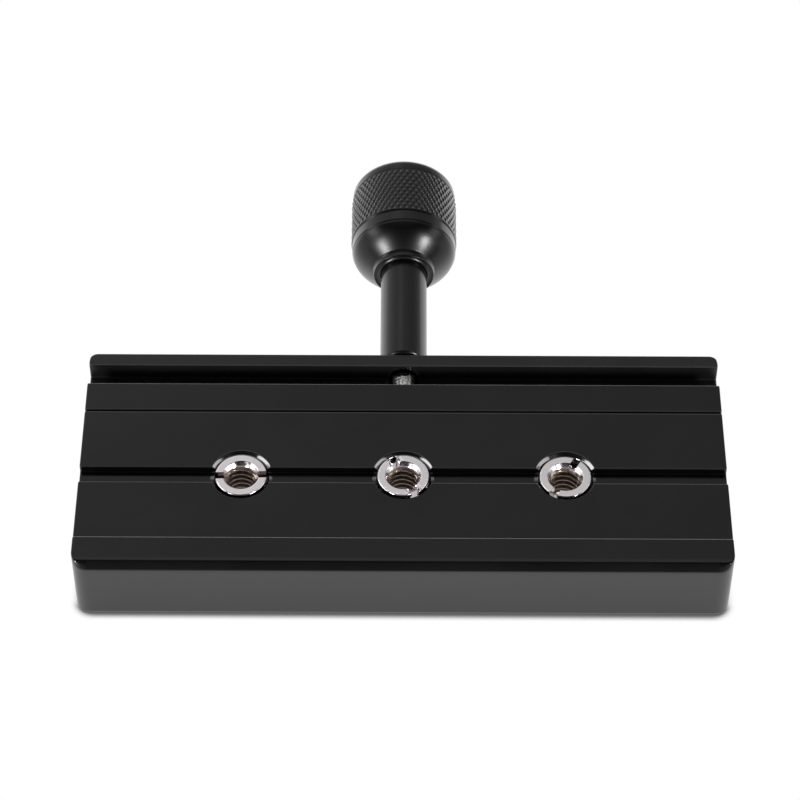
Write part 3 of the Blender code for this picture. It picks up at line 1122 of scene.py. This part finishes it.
@dataclass
class ClampPlate(LongPiece):
    """The machined plate with the fixed dovetail jaw and its mounting face."""

    name: str = "clamp_plate"
    node: str = "clamp_body"
    body: Body = Body.CLAMP
    corner_radius: float = 3.0 * MM
    groove_edge: float = 0.16 * MM
    top_bend: tuple[float, float] = (0.9 * MM, 0.25 * MM)
    front_bend: tuple[float, float] = (0.2 * MM, 1.3 * MM)
    top_chamfer: float = 1.2 * MM
    top_drop: float = 1.5 * MM
    lip_width: float = 6.65 * MM
    lip_height: float = 0.6 * MM
    channel_width: float = 3.5 * MM
    channel_depth: float = 1.5 * MM
    groove_offset: float = 15.4 * MM
    groove_width: float = 0.5 * MM
    groove_depth: float = 0.5 * MM
    jaw_thickness: float = 4.4 * MM
    hole_pitch: float = 30.0 * MM
    hole_radius: float = 5.1 * MM
    hole_columns: int = 120
    mouth_chamfer: float = 0.6 * MM
    thread_pitch: float = 1.5875 * MM
    thread_depths: tuple[float, float] = (-0.15 * MM, 0.12 * MM)
    tapped_radius: float = 2.8 * MM
    tapped_depth: float = 15.2 * MM
    pin_bore_radius: float = 1.8 * MM

    @property
    def hole_line(self) -> float:
        """Y of the line of mounting holes."""
        return middle(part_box("bushing_middle")).y

    @property
    def face(self) -> float:
        """Height of the mounting face."""
        return self.box[1].z - self.lip_height

    @property
    def lines(self) -> tuple[float, float, float, float]:
        """Y of the far and near sides of the groove, then of the channel."""
        groove = self.hole_line + self.groove_offset
        half_groove, half_channel = self.groove_width / 2, self.channel_width / 2
        return groove + half_groove, groove - half_groove, self.hole_line + half_channel, self.hole_line - half_channel

    def corners(self, step_back: Array) -> list[tuple[Array | float, Array | float]]:
        """The corners of the cross-sections: 0 to 15 stand still, 16 to 19 step back.

        Args:
            step_back: how far the outer face stands back at each station along X.

        Returns:
            y and z of each corner, anticlockwise seen from +X.
        """
        low, high = self.box
        tail, face = self.dovetail, self.face
        front, wall = low.y + step_back, low.y + self.jaw_thickness
        top_chamfer, top_drop, foot_chamfer = (
            np.maximum(size - step_back, self.edge) for size in (self.top_chamfer, self.top_drop, self.foot_chamfer)
        )
        groove_far, groove_near, channel_far, channel_near = self.lines
        return [
            (wall + tail.run, 0.0),
            (wall + tail.run, tail.nose),
            (wall, tail.nose + tail.run),
            (wall, tail.height),
            (high.y, tail.height),
            (high.y, face),
            (groove_far, face),
            (groove_far, face - self.groove_depth),
            (groove_near, face - self.groove_depth),
            (groove_near, face),
            (channel_far, face),
            (channel_far, face - self.channel_depth),
            (channel_near, face - self.channel_depth),
            (channel_near, face),
            (low.y + self.lip_width, face),
            (low.y + self.lip_width, high.z),
            (front + top_chamfer, high.z),
            (front, high.z - top_drop),
            (front, foot_chamfer),
            (front + foot_chamfer, 0.0),
        ]

    def reach(self, count: int) -> Array:
        """The roundings: small at the groove, and uneven at both ends of the top chamfer.

        Args:
            count: number of corners.

        Returns:
            The reach on the side before and the side after each corner.
        """
        reach = super().reach(count)
        reach[6:10] = self.groove_edge
        reach[16] = self.top_bend
        reach[17] = self.front_bend
        return reach

    def mounting_hole(self, x: float) -> Solid:
        """The tool that cuts one threaded mounting hole with its chamfered mouth.

        Formula: the radius is the larger of the thread's and of a profile that flares out
        at the mouth and at the dovetail's ceiling.

        Args:
            x: place of the hole along the clamp.

        Returns:
            The closed tool.
        """
        radius, face, flare, ceiling = self.hole_radius, self.face, self.mouth_chamfer, self.dovetail.height
        thread = Thread(self.thread_pitch, *(radius + depth for depth in self.thread_depths))
        profile = open_rounded(
            [
                (radius + 0.6 * MM, ceiling - 0.3 * MM),
                (radius - 0.1 * MM, ceiling + 0.4 * MM),
                (radius - 0.1 * MM, face - flare - 0.1 * MM),
                (radius + flare, face),
                (radius + flare + 0.25 * MM, face + 0.06 * MM),
            ],
            0.12 * MM,
        )
        profile = resampled(profile, 0.2 * MM)
        bare, height = profile[:, :1], profile[:, 1:]
        angle = round_angles(self.hole_columns)
        within = eased(face - height, 0.3 * MM, 0.9 * MM)
        threaded = thread.radius(height, angle) * within + (1.0 - within) * bare
        return Solid.from_grid(Axis.upright(x, self.hole_line).place(np.maximum(bare, threaded), height, angle))

    def tools(self) -> list[Solid]:
        """The mounting holes, and the bores for the screw and the springs in the back."""
        back, shape = self.box[1].y, {"flare": 0.3 * MM, "spill": 0.05 * MM, "columns": 64}
        tools = [self.mounting_hole(x) for x in (-self.hole_pitch, 0.0, self.hole_pitch)]
        tools.append(Bore(0.0, self.screw_z, self.tapped_radius, back, back - self.tapped_depth, **shape).tool())
        for side in Side:
            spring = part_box(f"return_spring_{side.value}")
            centre, end = middle(spring), spring[0].y - self.seat_gap
            tools.append(Bore(centre.x, centre.z, self.pin_bore_radius, back, end, **shape).tool())
        return tools

    def finish(self) -> Anodised:
        """The plate's coat, with smooth hole mouths and painted highlights on its edges."""
        low, high = self.box
        groove_far, groove_near, channel_far, channel_near = self.lines
        return Anodised(
            "black_anodised_plate",
            roughness=0.18,
            ior=1.41,
            coat_ior=2.6,
            mouths=HoleMouths(self.hole_line, self.hole_pitch, self.hole_radius + self.mouth_chamfer),
            coats=(FrontWall(low.y, high.z - self.top_drop),),
            # painted highlights on the edges that catch light
            edges=(
                HighlitEdge(high.y, self.face, 0.7),
                HighlitEdge(groove_far, self.face, 0.03),
                HighlitEdge(groove_near, self.face, 0.15),
                HighlitEdge(channel_far, self.face, 0.03),
                HighlitEdge(channel_near, self.face, 0.4),
                HighlitEdge(low.y + self.lip_width, high.z, 0.8),
            ),
        )


@dataclass
class MovingJaw(LongPiece):
    """The machined rail with the moving dovetail jaw."""

    name: str = "moving_jaw_rail"
    node: str = "movable_jaw"
    body: Body = Body.JAW
    corner_radius: float = 1.6 * MM
    rail_thickness: float = 2.8 * MM
    ledge_depth: float = 4.7 * MM
    ledge_drop: float = 3.7 * MM
    screw_hole_radius: float = 2.8 * MM
    pin_hole_radius: float = 1.8 * MM

    @property
    def inner(self) -> float:
        """Y of the inner face below the ledge."""
        return self.box[1].y - self.ledge_depth

    @property
    def ledge(self) -> float:
        """Height of the ledge inside the rail."""
        return self.box[1].z - self.ledge_drop

    def corners(self, step_back: Array) -> list[tuple[Array | float, Array | float]]:
        """The corners of the cross-sections: 0 to 7 stand still, 8 to 10 step back.

        Args:
            step_back: how far the outer face stands back at each station along X.

        Returns:
            y and z of each corner, anticlockwise seen from +X.
        """
        low, high = self.box
        tail, outer = self.dovetail, high.y - step_back
        foot_chamfer = np.maximum(self.foot_chamfer - step_back, self.edge)
        rail, wall, tongue = high.y - self.rail_thickness, low.y + tail.run, tail.height - self.seat_gap
        return [
            (rail, high.z),
            (rail, self.ledge),
            (self.inner, self.ledge),
            (self.inner, tongue),
            (wall, tongue),
            (wall, tail.nose + tail.run),
            (low.y, tail.nose),
            (low.y, 0.0),
            (outer - foot_chamfer, 0.0),
            (outer, foot_chamfer),
            (outer, high.z),
        ]

    def tools(self) -> list[Solid]:
        """The screw's hole and the blind holes of the pins."""
        screw = Bore(
            0.0, self.screw_z, self.screw_hole_radius, self.inner, self.box[1].y, 0.25 * MM, through=True, columns=96
        )
        tools = [screw.tool()]
        for side in Side:
            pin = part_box(f"guide_pin_{side.value}")
            centre, end = middle(pin), pin[1].y + self.seat_gap
            tools.append(Bore(centre.x, centre.z, self.pin_hole_radius, self.inner, end, 0.2 * MM).tool())
        return tools

    def finish(self) -> Anodised:
        """The jaw's coat, scuffed by the screw, with painted highlights on its edges and a black lighter than the
        plate's as painted fill light.
        """
        outer, top = self.box[1].y, self.box[1].z
        return Anodised(
            "black_anodised_jaw",
            # painted fill light: this black is lighter than the plate's so that the shaded gap inside the rail stays
            # dark grey
            colour=(0.0058, 0.0058, 0.006),
            ior=1.41,
            scuffs=Scuffs((-2.8 * MM, self.inner + 0.9 * MM, self.ledge), 0.9 * MM),
            # painted highlights on the jaw's edges
            edges=(
                HighlitEdge(outer, top, 0.3),
                HighlitEdge(outer - self.rail_thickness, top, 0.04),
                HighlitEdge(self.inner, self.ledge, 0.6),
            ),
        )


# ---- bushings ----


@dataclass
class ThreadReducer:
    """A slotted bushing with a 1/4 inch thread inside and a 3/8 inch thread outside."""

    node: str
    slot_angle: float
    chewed: float = 0.0
    # how far the slot's floor is darkened
    slot_floor_darkening: float = 0.0
    bore_radius: float = 2.6 * MM
    bore_root: float = 3.175 * MM
    bore_pitch: float = 1.27 * MM
    outer_root: float = 4.32 * MM
    outer_pitch: float = 1.5875 * MM
    sink_radius: float = 3.35 * MM
    edge: float = 0.3 * MM
    slot_width: float = 1.5 * MM
    slot_depth: float = 1.5 * MM
    slot_reach: float = 5.4 * MM
    rounding: float = 0.08 * MM
    sink_rounding: float = 0.2 * MM
    spacing: float = 0.105 * MM
    burr_seed: int = 11
    nick_seed: int = 5
    wander_seed: int = 23
    columns: int = 192

    @property
    def box(self) -> Box:
        """The CAD node's box."""
        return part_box(self.node)

    @property
    def axis(self) -> Axis:
        """The bushing's upright axis."""
        centre = middle(self.box)
        return Axis.upright(centre.x, centre.y)

    @property
    def slot_turn(self) -> tuple[float, float]:
        """Cosine and sine of the slot's angle."""
        return math.cos(math.radians(self.slot_angle)), math.sin(math.radians(self.slot_angle))

    def sleeve(self) -> Solid:
        """The threaded sleeve before its slot is cut.

        Formula: a closed profile goes round the axis. On the outer wall the radius is the
        smaller of the profile's and the outer thread's, on the inner wall the larger of the
        profile's and the bore thread's. Both threads fade out towards the top.

        Returns:
            The closed sleeve.
        """
        bottom, top = (corner.z for corner in self.box)
        outer, bore, sink, edge = half_width(self.box), self.bore_radius, self.sink_radius, self.edge
        corners = np.array(
            [
                (outer - edge, bottom),
                (outer, bottom + edge),
                (outer, top - 0.5 * edge),
                (outer - 0.5 * edge, top),
                (sink, top),
                (bore, top - 1.15 * (sink - bore)),
                (bore, bottom + edge),
                (bore + edge, bottom),
            ]
        )
        reach = np.full((len(corners), 1), self.rounding)
        reach[5] = self.sink_rounding
        profile = rounded(corners, reach, 4)
        profile = resampled(np.concatenate([profile, profile[:1]]), self.spacing)[:-1]
        radius, height = profile[:, :1], profile[:, 1:]
        angle, depth = round_angles(self.columns), top - height
        outside = Thread(self.outer_pitch, self.outer_root, outer).radius(height, angle)
        outside = outer + (outside - outer) * eased(depth, 0.5 * MM, 1.4 * MM)
        inside = Thread(self.bore_pitch, bore, self.bore_root).radius(height, angle)
        inside = bore + (inside - bore) * eased(depth, 0.55 * MM, 1.2 * MM)
        is_outer = radius > 0.5 * (outer + sink)
        shaped = np.where(is_outer, np.minimum(radius, outside), np.maximum(radius, inside))
        shaped = np.where(np.abs(depth) < FLUSH, radius, shaped)
        points = self.axis.place(shaped, height, angle)
        if self.chewed > 0.0:
            points = self.burred(points, top)
        return Solid.from_grid(points, rows_closed=True)

    def burred(self, points: Array, top: float) -> Array:
        """Raise uneven burrs on the top of a chewed bushing, and nick its rim.

        Formula: points near the top rise by chewed * (ripple - 0.15), fading with the
        distance from the slot's edges, and drop where another ripple peaks at the rim.

        Args:
            points: the sleeve's points.
            top: height of its top.

        Returns:
            The moved points.
        """
        centre, (cosine, sine) = np.array(self.axis.origin), self.slot_turn
        across = (points - centre) @ np.array([-sine, cosine, 0.0])
        beside = np.exp(-((np.abs(across) - 0.5 * self.slot_width) / (0.55 * MM)) ** 2)
        near_top = eased(points[..., 2], top - 0.35 * MM, top - 0.02 * MM)
        burrs = (ripple(points[..., :2], self.burr_seed, 0.5 * MM) - 0.15) * beside
        rim = eased(np.linalg.norm(points[..., :2] - centre[:2], axis=-1), 4.2 * MM, 4.7 * MM)
        nicks = np.clip(ripple(points[..., :2], self.nick_seed, 0.55 * MM) - 0.55, 0.0, None) * rim
        lift = self.chewed * near_top * (burrs - 0.55 * nicks)
        return points + lift[..., None] * np.array([0.0, 0.0, 1.0])

    def slot_tool(self) -> Solid:
        """The tool that cuts the slot across the top.

        Formula: a bar of square section along the slot. On a chewed bushing each side
        wanders by an uneven amount that grows towards the ends.

        Returns:
            The closed bar.
        """
        along = np.linspace(-self.slot_reach, self.slot_reach, 91)[:, None]
        half, deep, above = self.slot_width / 2, -self.slot_depth, 0.6 * MM
        section = np.array([(-half, deep), (half, deep), (half, 0.0), (half, above), (-half, above), (-half, 0.0)])
        across, height = (np.broadcast_to(part, (len(along), len(section))) for part in section.T)
        if self.chewed > 0.0:
            sides = np.stack([np.broadcast_to(along, across.shape), across], axis=-1)
            wander = ripple(sides, self.wander_seed, 0.8 * MM)
            outward = eased(np.abs(along), 3.0 * MM, 4.8 * MM)
            amount = (0.35 + 0.9 * outward) * self.chewed * np.where(height < -0.5 * MM, 0.3, 1.3)
            across = across + np.sign(across) * np.maximum(wander, -0.3) * amount
        (cosine, sine), centre = self.slot_turn, self.axis.origin
        x = centre[0] + along * cosine - across * sine
        y = centre[1] + along * sine + across * cosine
        return Solid.from_grid(np.stack([x, y, self.box[1].z + height], axis=-1))

    def build(self, dresser: Dresser, effects: Effects) -> None:
        """Build the bushing and dress it.

        Args:
            dresser: makes the finished piece.
            effects: the shared node groups.
        """
        name = self.node.replace("bushing", "thread_reducer")
        finish = Plated(f"nickel_{name}", self.axis.origin, self.box[1].z, self.slot_floor_darkening)
        mesh = self.sleeve().cut(self.slot_tool(), name)
        dresser.piece(name, mesh, finish.material(effects), Body.CLAMP, Slot.NICKEL, self.node)


# ---- knob and screw ----


@dataclass
class Knob:
    """The knob's head and shaft, with the clamping screw."""

    bore_radius: float = 4.55 * MM
    bore_depth: float = 6.1 * MM
    lip: float = 0.32 * MM
    face_sink: float = 0.25 * MM
    collar_radius: float = 5.95 * MM
    collar_length: float = 1.3 * MM
    bell_length: float = 4.2 * MM
    bell_end: float = 10.1 * MM
    bell_foot_slope: float = 1.5
    bell_end_slope: float = 0.2
    band_radius: float = 10.25 * MM
    band_length: float = 3.0 * MM
    band_edge: float = 0.25 * MM
    knurl_depth: float = 0.3 * MM
    knurl_length: float = 11.0 * MM
    knurl_teeth: int = 54
    knurl_rows: float = 5.5
    rear_radius: float = 10.3 * MM
    rear_rounding: float = 1.8 * MM
    shaft_edge: float = 0.2 * MM
    shaft_front_chamfer: float = 0.28 * MM
    screw_pitch: float = 0.8 * MM
    screw_root: float = 2.06 * MM
    neck_radius: float = 2.1 * MM
    neck_start: float = -5.7 * MM
    tip_chamfer: float = 0.6 * MM
    socket_radius: float = 2.8 * MM
    socket_gap: float = 0.3 * MM
    head_columns: int = 432
    shaft_columns: int = 128
    screw_columns: int = 64

    @property
    def axis(self) -> Axis:
        """The knob's axis along Y."""
        centre = middle(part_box("knob_shaft"))
        return Axis((centre.x, 0.0, centre.z))

    def head_profile(self) -> tuple[Array, float]:
        """The head's profile from the bottom of its bore to its rear face.

        Formula: the bell bows from the collar's edge to the band, about the point where its
        two end slopes meet. The rear rim is a quarter circle.

        Returns:
            (radius, y) points, and the y where the knurl starts.
        """
        low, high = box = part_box("knob_head")
        front, crest = low.y, half_width(box)
        bell = front + self.collar_length
        band = bell + self.bell_length
        knurl = band + self.band_length
        rear, edge = knurl + self.knurl_length, self.band_edge
        bore, collar, sunk = self.bore_radius, self.collar_radius, front + self.face_sink
        mouth = open_rounded(
            [
                (0.2 * MM, front + self.bore_depth),
                (bore, front + self.bore_depth),
                (bore, front),
                (bore + self.lip, front),
                (bore + self.lip + self.face_sink, sunk),
                (collar - self.lip, sunk),
                (collar - self.lip, front),
                (collar, front),
                (collar, bell),
            ],
            0.14 * MM,
        )
        gain = self.bell_end - collar - self.bell_end_slope * self.bell_length
        bend = gain / (self.bell_foot_slope - self.bell_end_slope)
        corner = np.array((collar + self.bell_foot_slope * bend, bell + bend))
        t = np.linspace(0.0, 1.0, 32)[:, None]
        curve = bow(np.array((collar, bell)), corner, np.array((self.bell_end, band)), t)
        body = open_rounded(
            [
                (self.bell_end, band),
                (self.bell_end + 0.03 * MM, band + 0.4 * edge),
                (self.band_radius, band + 1.4 * edge),
                (self.band_radius, knurl - 2.2 * edge),
                (crest - 0.02 * MM, knurl - 0.8 * edge),
                (crest - 0.02 * MM, knurl),
                (crest, knurl + 0.02 * MM),
                (crest, rear - self.knurl_depth),
                (crest - self.knurl_depth, rear),
                (self.rear_radius, rear + edge),
                (self.rear_radius, high.y - self.rear_rounding),
            ],
            0.08 * MM,
        )
        turn = np.linspace(0.0, math.pi / 2, 12)[1:, None]
        centre = np.array([(self.rear_radius - self.rear_rounding, high.y - self.rear_rounding)])
        rim = centre + self.rear_rounding * np.concatenate([np.cos(turn), np.sin(turn)], axis=1)
        end = np.array([(0.6 * self.rear_radius, high.y), (0.2 * MM, high.y)])
        return np.concatenate([mouth, curve[1:-1], body, rim, end]), knurl

    def head(self) -> Solid:
        """The knurled head.

        Formula: the profile goes round the axis, and along the knurl the radius is the
        smaller of the profile's and the knurl's.

        Returns:
            The closed head.
        """
        profile, start = self.head_profile()
        pitch, end = self.knurl_length / self.knurl_rows, start + self.knurl_length
        inside = (profile[:, 1] > start - 0.01 * MM) & (profile[:, 1] < end + 0.01 * MM)
        first, last = np.flatnonzero(inside)[[0, -1]]
        fine = resampled(profile[first : last + 1], pitch / 8)
        profile = np.concatenate([profile[:first], fine, profile[last + 1 :]])
        radius, height = profile[:, :1], profile[:, 1:]
        crest = half_width(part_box("knob_head"))
        knurl = Knurl(crest - self.knurl_depth, crest, self.knurl_teeth, pitch)
        angle = round_angles(self.head_columns)
        knurled = np.minimum(radius, knurl.radius(height - start, angle))
        within = (height > start) & (height < end)
        return Solid.from_grid(self.axis.place(np.where(within, knurled, radius), height, angle))

    def shaft(self) -> Solid:
        """The long round shaft, with the blind socket that holds the screw."""
        low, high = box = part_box("knob_shaft")
        radius, edge, chamfer = half_width(box), self.shaft_edge, self.shaft_front_chamfer
        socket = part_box("clamp_screw")[1].y + self.socket_gap
        profile = open_rounded(
            [
                (NEAR_ZERO, socket),
                (self.socket_radius, socket),
                (self.socket_radius, low.y),
                (radius - chamfer, low.y),
                (radius, low.y + chamfer),
                (radius, high.y - edge),
                (radius - edge, high.y),
                (NEAR_ZERO, high.y),
            ],
            0.08 * MM,
        )
        return Solid.turned(self.axis, profile, self.shaft_columns)

    def screw(self) -> Solid:
        """The threaded clamping screw.

        Formula: the radius is the smaller of the thread's and of a bar with chamfered ends,
        and from the start of the relief neck on it stays within the neck's radius.

        Returns:
            The closed screw.
        """
        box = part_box("clamp_screw")
        radius = half_width(box)
        profile = resampled(np.array(bar_profile(box, self.tip_chamfer)), self.screw_pitch / 10)
        bar, height = profile[:, :1], profile[:, 1:]
        bar = np.where(height > self.neck_start, np.minimum(bar, self.neck_radius), bar)
        angle = round_angles(self.screw_columns)
        thread = Thread(self.screw_pitch, self.screw_root, radius).radius(height, angle)
        return Solid.from_grid(self.axis.place(np.minimum(bar, thread), height, angle))

    def build(self, dresser: Dresser, effects: Effects) -> None:
        """Build the pieces that turn with the knob and dress them.

        Args:
            dresser: makes the finished pieces.
            effects: the shared node groups.
        """
        smooth = {"ior": 1.43, "grain_depth": 0.0006 * MM}
        black = Anodised("black_anodised_knob", coats=(Sheen(0.9),), **smooth).material(effects)
        stem = Anodised("black_anodised_stem", coats=(Sheen(0.6),), **smooth).material(effects)
        # the screw gets a painted shadow of the rail from 9.3 mm on
        steel = BareSteel("steel_screw", (0.72, 0.71, 0.69), roughness=0.24, rail_shadow_from=9.3 * MM).material(effects)
        head, shaft, screw = self.head(), self.shaft(), self.screw()
        dresser.piece("knob_bell", head.mesh("knob_bell"), black, Body.KNOB, Slot.BLACK, "knob_head", sharp=60.0)
        dresser.piece("knob_stem", shaft.mesh("knob_stem"), stem, Body.KNOB, Slot.BLACK, "knob_shaft")
        spindle = screw.mesh("clamping_spindle")
        dresser.piece("clamping_spindle", spindle, steel, Body.KNOB, Slot.STEEL, "clamp_screw")


# ---- pins and springs ----


@dataclass
class Guide:
    """A guide pin and the return spring behind it."""

    side: Side
    pin_chamfer: float = 0.3 * MM
    wire: float = 0.4 * MM
    turns: int = 7
    dead_turns: float = 1.0
    pin_columns: int = 48
    turn_steps: int = 40
    wire_columns: int = 14

    def pin(self, box: Box) -> Solid:
        """The dowel in its box, with chamfered ends."""
        centre, profile = middle(box), open_rounded(bar_profile(box, self.pin_chamfer), 0.08 * MM)
        return Solid.turned(Axis((centre.x, 0.0, centre.z)), profile, self.pin_columns)

    def spring(self, box: Box) -> Solid:
        """The coil spring in its box, as a wire swept along a helix.

        Formula: the middle of the wire goes round the axis once per turn. Its height rises
        by one wire thickness in the first and last turns, and evenly in between. The
        section is a circle in the plane of the axis and the spoke.

        Args:
            box: the spring's box.

        Returns:
            The closed wire.
        """
        low, high = box
        centre, outer, wire = middle(box), half_width(box), self.wire / 2
        turn = np.linspace(0.0, self.turns, self.turns * self.turn_steps + 1)[:, None]
        length, closed = high.y - low.y - 2 * wire, 2.05 * wire * self.dead_turns
        turns = [0.0, self.dead_turns, self.turns - self.dead_turns, self.turns]
        rise = low.y + wire + np.interp(turn, turns, [0.0, closed, length - closed, length])
        around = round_angles(self.wire_columns)
        radius = outer - wire + wire * np.cos(around)
        axis = Axis((centre.x, 0.0, centre.z))
        return Solid.from_grid(axis.place(radius, rise + wire * np.sin(around), TURN * turn))

    def build(self, dresser: Dresser, effects: Effects) -> None:
        """Build the pin and the spring and dress them.

        Args:
            dresser: makes the finished pieces.
            effects: the shared node groups.
        """
        word = self.side.value
        pin, node = f"guide_pin_{word}", f"return_spring_{word}"
        steel = BareSteel(f"steel_pin_{word}", roughness=0.18, dull_share=0.0).material(effects)
        wire = BareSteel(f"spring_wire_{word}", (0.45, 0.45, 0.45), dull_share=0.2).material(effects)
        dresser.piece(f"dowel_{word}", self.pin(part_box(pin)).mesh("dowel"), steel, Body.JAW, Slot.STEEL, pin)
        low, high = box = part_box(node)
        coil = dresser.piece(f"opening_spring_{word}", self.spring(box).mesh("coil"), wire, None, Slot.SPRING, node)
        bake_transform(coil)


# ---- studio ----


@dataclass(frozen=True)
class SoftBox:
    """A soft light that faces the clamp."""

    name: str
    place: Triple
    size: tuple[float, float]
    radiance: float
    target: Triple = (0.0, -0.01, 0.01)

    def build(self) -> None:
        """Add the light, whose energy is radiance * area * pi."""
        data = bpy.data.lights.new(self.name, "AREA")
        data.shape = "RECTANGLE"
        data.size, data.size_y = self.size
        data.energy = self.radiance * self.size[0] * self.size[1] * math.pi
        made = bpy.data.objects.new(self.name, data)
        aim = (Vector(self.target) - Vector(self.place)).to_track_quat("-Z", "Y")
        made.matrix_world = Matrix.Translation(self.place) @ aim.to_matrix().to_4x4()
        bpy.context.scene.collection.objects.link(made)


@dataclass
class Studio:
    """The white table, the soft lights, the room and the camera.

    A ramp says from which value to which it runs, and what it gives at either end.
    """

    camera_place: Triple = (-0.00065, -0.36735, 0.4338)
    camera_pitch: float = 49.5
    camera_roll: float = 0.24
    lens: float = 131.4
    half_floor: float = 3.0
    floor_albedo: float = 0.8
    contact_reach: float = 1.6 * MM
    contact_shade: Ramp = (0.35, 0.98, 0.9, 0.0)
    front_shade: Ramp = (-47.5 * MM, -45.5 * MM, 1.0, 0.4)
    mirrored_reach: float = 12.0 * MM
    mirrored_shade: float = 0.4
    far_shade: Ramp = (-180.0 * MM, -110.0 * MM, 0.4, 0.0)
    behind: Ramp = (0.03, 0.3, 0.02, 1.0)
    left_to_right: tuple[float, float] = (-0.28, 0.53)
    overhead: Ramp = (0.78, 0.88, 1.0, 1.7)
    patch_towards: Triple = (-0.19, 0.71, 0.68)
    patch: Ramp = (0.985, 0.9997, 1.0, 1.8)
    low_band: Ramp = (0.27, 0.52, 0.42, 0.0)
    ceiling: Ramp = (0.85, 0.97, 0.0, 0.14)
    lights: tuple[SoftBox, ...] = (
        SoftBox("softbox_left", (-0.365, -0.438, 0.115), (0.13, 0.13), 46.0),
        SoftBox("softbox_right", (0.369, -0.412, 0.186), (0.13, 0.13), 43.0),
        SoftBox("strip_left", (-0.55, -0.07, 0.25), (0.48, 0.18), 3.3),
        SoftBox("strip_right", (0.55, -0.07, 0.25), (0.48, 0.18), 1.7),
    )

    def camera(self) -> None:
        """Place the camera at the photograph's viewing angle."""
        data = bpy.data.cameras.new("camera")
        data.lens = self.lens
        data.sensor_width = 36.0
        data.clip_start = 0.01
        made = bpy.data.objects.new("camera", data)
        tilt = Matrix.Rotation(math.radians(90.0 - self.camera_pitch), 4, "X")
        roll = Matrix.Rotation(math.radians(self.camera_roll), 4, "Z")
        made.matrix_world = Matrix.Translation(self.camera_place) @ tilt @ roll
        bpy.context.scene.collection.objects.link(made)
        bpy.context.scene.camera = made

    def table_top(self) -> bpy.types.Material:
        """The table's finish, which shows white and keeps the clamp's contact shadow.

        Formula: the camera sees white less the contact shadow, which is fainter behind the
        front face. Reflections see white less a wider shadow, and a grey far part. All
        other light meets a matt white.

        Returns:
            The material.
        """
        material = bpy.data.materials.new("white_table")
        material.use_nodes = True
        material.node_tree.nodes.clear()
        wiring = Wiring(material.node_tree)
        path = wiring.node("ShaderNodeLightPath").outputs
        seen = wiring.maths("ADD", path["Is Camera Ray"], path["Is Glossy Ray"])
        seen = wiring.maths("ADD", seen, path["Is Transmission Ray"], clamp=True)
        y = wiring.parts(wiring.place())[1]
        near, wide = (
            wiring.node("ShaderNodeAmbientOcclusion", {"Distance": reach}, samples=8).outputs["AO"]
            for reach in (self.contact_reach, self.mirrored_reach)
        )
        contact = wiring.times(wiring.span(near, *self.contact_shade), wiring.span(y, *self.front_shade))
        mirrored = wiring.maths("MULTIPLY_ADD", wide, -self.mirrored_shade, self.mirrored_shade)
        mirrored = wiring.largest([mirrored, wiring.span(y, *self.far_shade)])
        shade = wiring.choice(path["Is Camera Ray"], mirrored, contact)
        light = wiring.maths("SUBTRACT", 1.0, shade)
        white = wiring.node("ShaderNodeEmission", {"Color": light, "Strength": 1.0}).outputs[0]
        matt = wiring.node("ShaderNodeBsdfDiffuse", {"Color": rgba((self.floor_albedo,) * 3)}).outputs[0]
        mixed = wiring.node("ShaderNodeMixShader", {0: seen, 1: matt, 2: white}).outputs[0]
        wiring.node("ShaderNodeOutputMaterial", {"Surface": mixed})
        return material

    def floor(self) -> None:
        """A wide table under the clamp."""
        half = self.half_floor
        mesh = bpy.data.meshes.new("table")
        corners = [(-half, -half, 0.0), (half, -half, 0.0), (half, half, 0.0), (-half, half, 0.0)]
        mesh.from_pydata(corners, [], [[0, 1, 2, 3]])
        made = bpy.data.objects.new("table", mesh)
        bpy.context.scene.collection.objects.link(made)
        mesh.materials.append(self.table_top())

    def surroundings(self) -> None:
        """A room that is bright behind the clamp and dark behind the camera, with a white backdrop."""
        world = bpy.data.worlds.new("studio")
        world.use_nodes = True
        bpy.context.scene.world = world
        world.node_tree.nodes.clear()
        wiring = Wiring(world.node_tree)
        direction = wiring.place("Generated")
        x, y, z = wiring.parts(direction)
        towards = tuple(Vector(self.patch_towards).normalized())
        facing = wiring.node("ShaderNodeVectorMath", {0: direction, 1: towards}, operation="DOT_PRODUCT")
        room = wiring.times(wiring.span(y, *self.behind), wiring.maths("MULTIPLY_ADD", x, *self.left_to_right))
        room = wiring.times(room, wiring.span(z, *self.overhead))
        room = wiring.times(room, wiring.span(facing.outputs["Value"], *self.patch))
        room = wiring.largest([room, wiring.span(z, *self.low_band), wiring.span(z, *self.ceiling)])
        camera = wiring.node("ShaderNodeLightPath").outputs["Is Camera Ray"]
        inputs = {"Color": rgba((1.0, 1.0, 1.0)), "Strength": wiring.choice(camera, room, 1.0)}
        wiring.node("ShaderNodeOutputWorld", {"Surface": wiring.node("ShaderNodeBackground", inputs).outputs[0]})

    def build(self) -> None:
        """Set up the whole studio."""
        bpy.context.scene.view_settings.view_transform = "Standard"
        self.camera()
        self.floor()
        self.surroundings()
        for light in self.lights:
            light.build()


def main() -> None:
    """Dress the clamp, piece by piece, and set up the studio."""
    logging.basicConfig(level=logging.INFO, format="%(name)s: %(message)s")
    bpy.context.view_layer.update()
    effects = Effects()
    dresser = Dresser()
    pieces = (
        ClampPlate(),
        ThreadReducer("bushing_left", 2.0, slot_floor_darkening=0.9),
        ThreadReducer("bushing_middle", 118.0, chewed=0.12 * MM),
        ThreadReducer("bushing_right", 60.0, slot_depth=2.1 * MM),
        MovingJaw(),
        Knob(),
        Guide(Side.LEFT),
        Guide(Side.RIGHT),
    )
    for piece in pieces:
        piece.build(dresser, effects)
    Studio().build()
    log.info("all pieces: %d triangles", dresser.triangles)


if __name__ == "__main__":
    main()
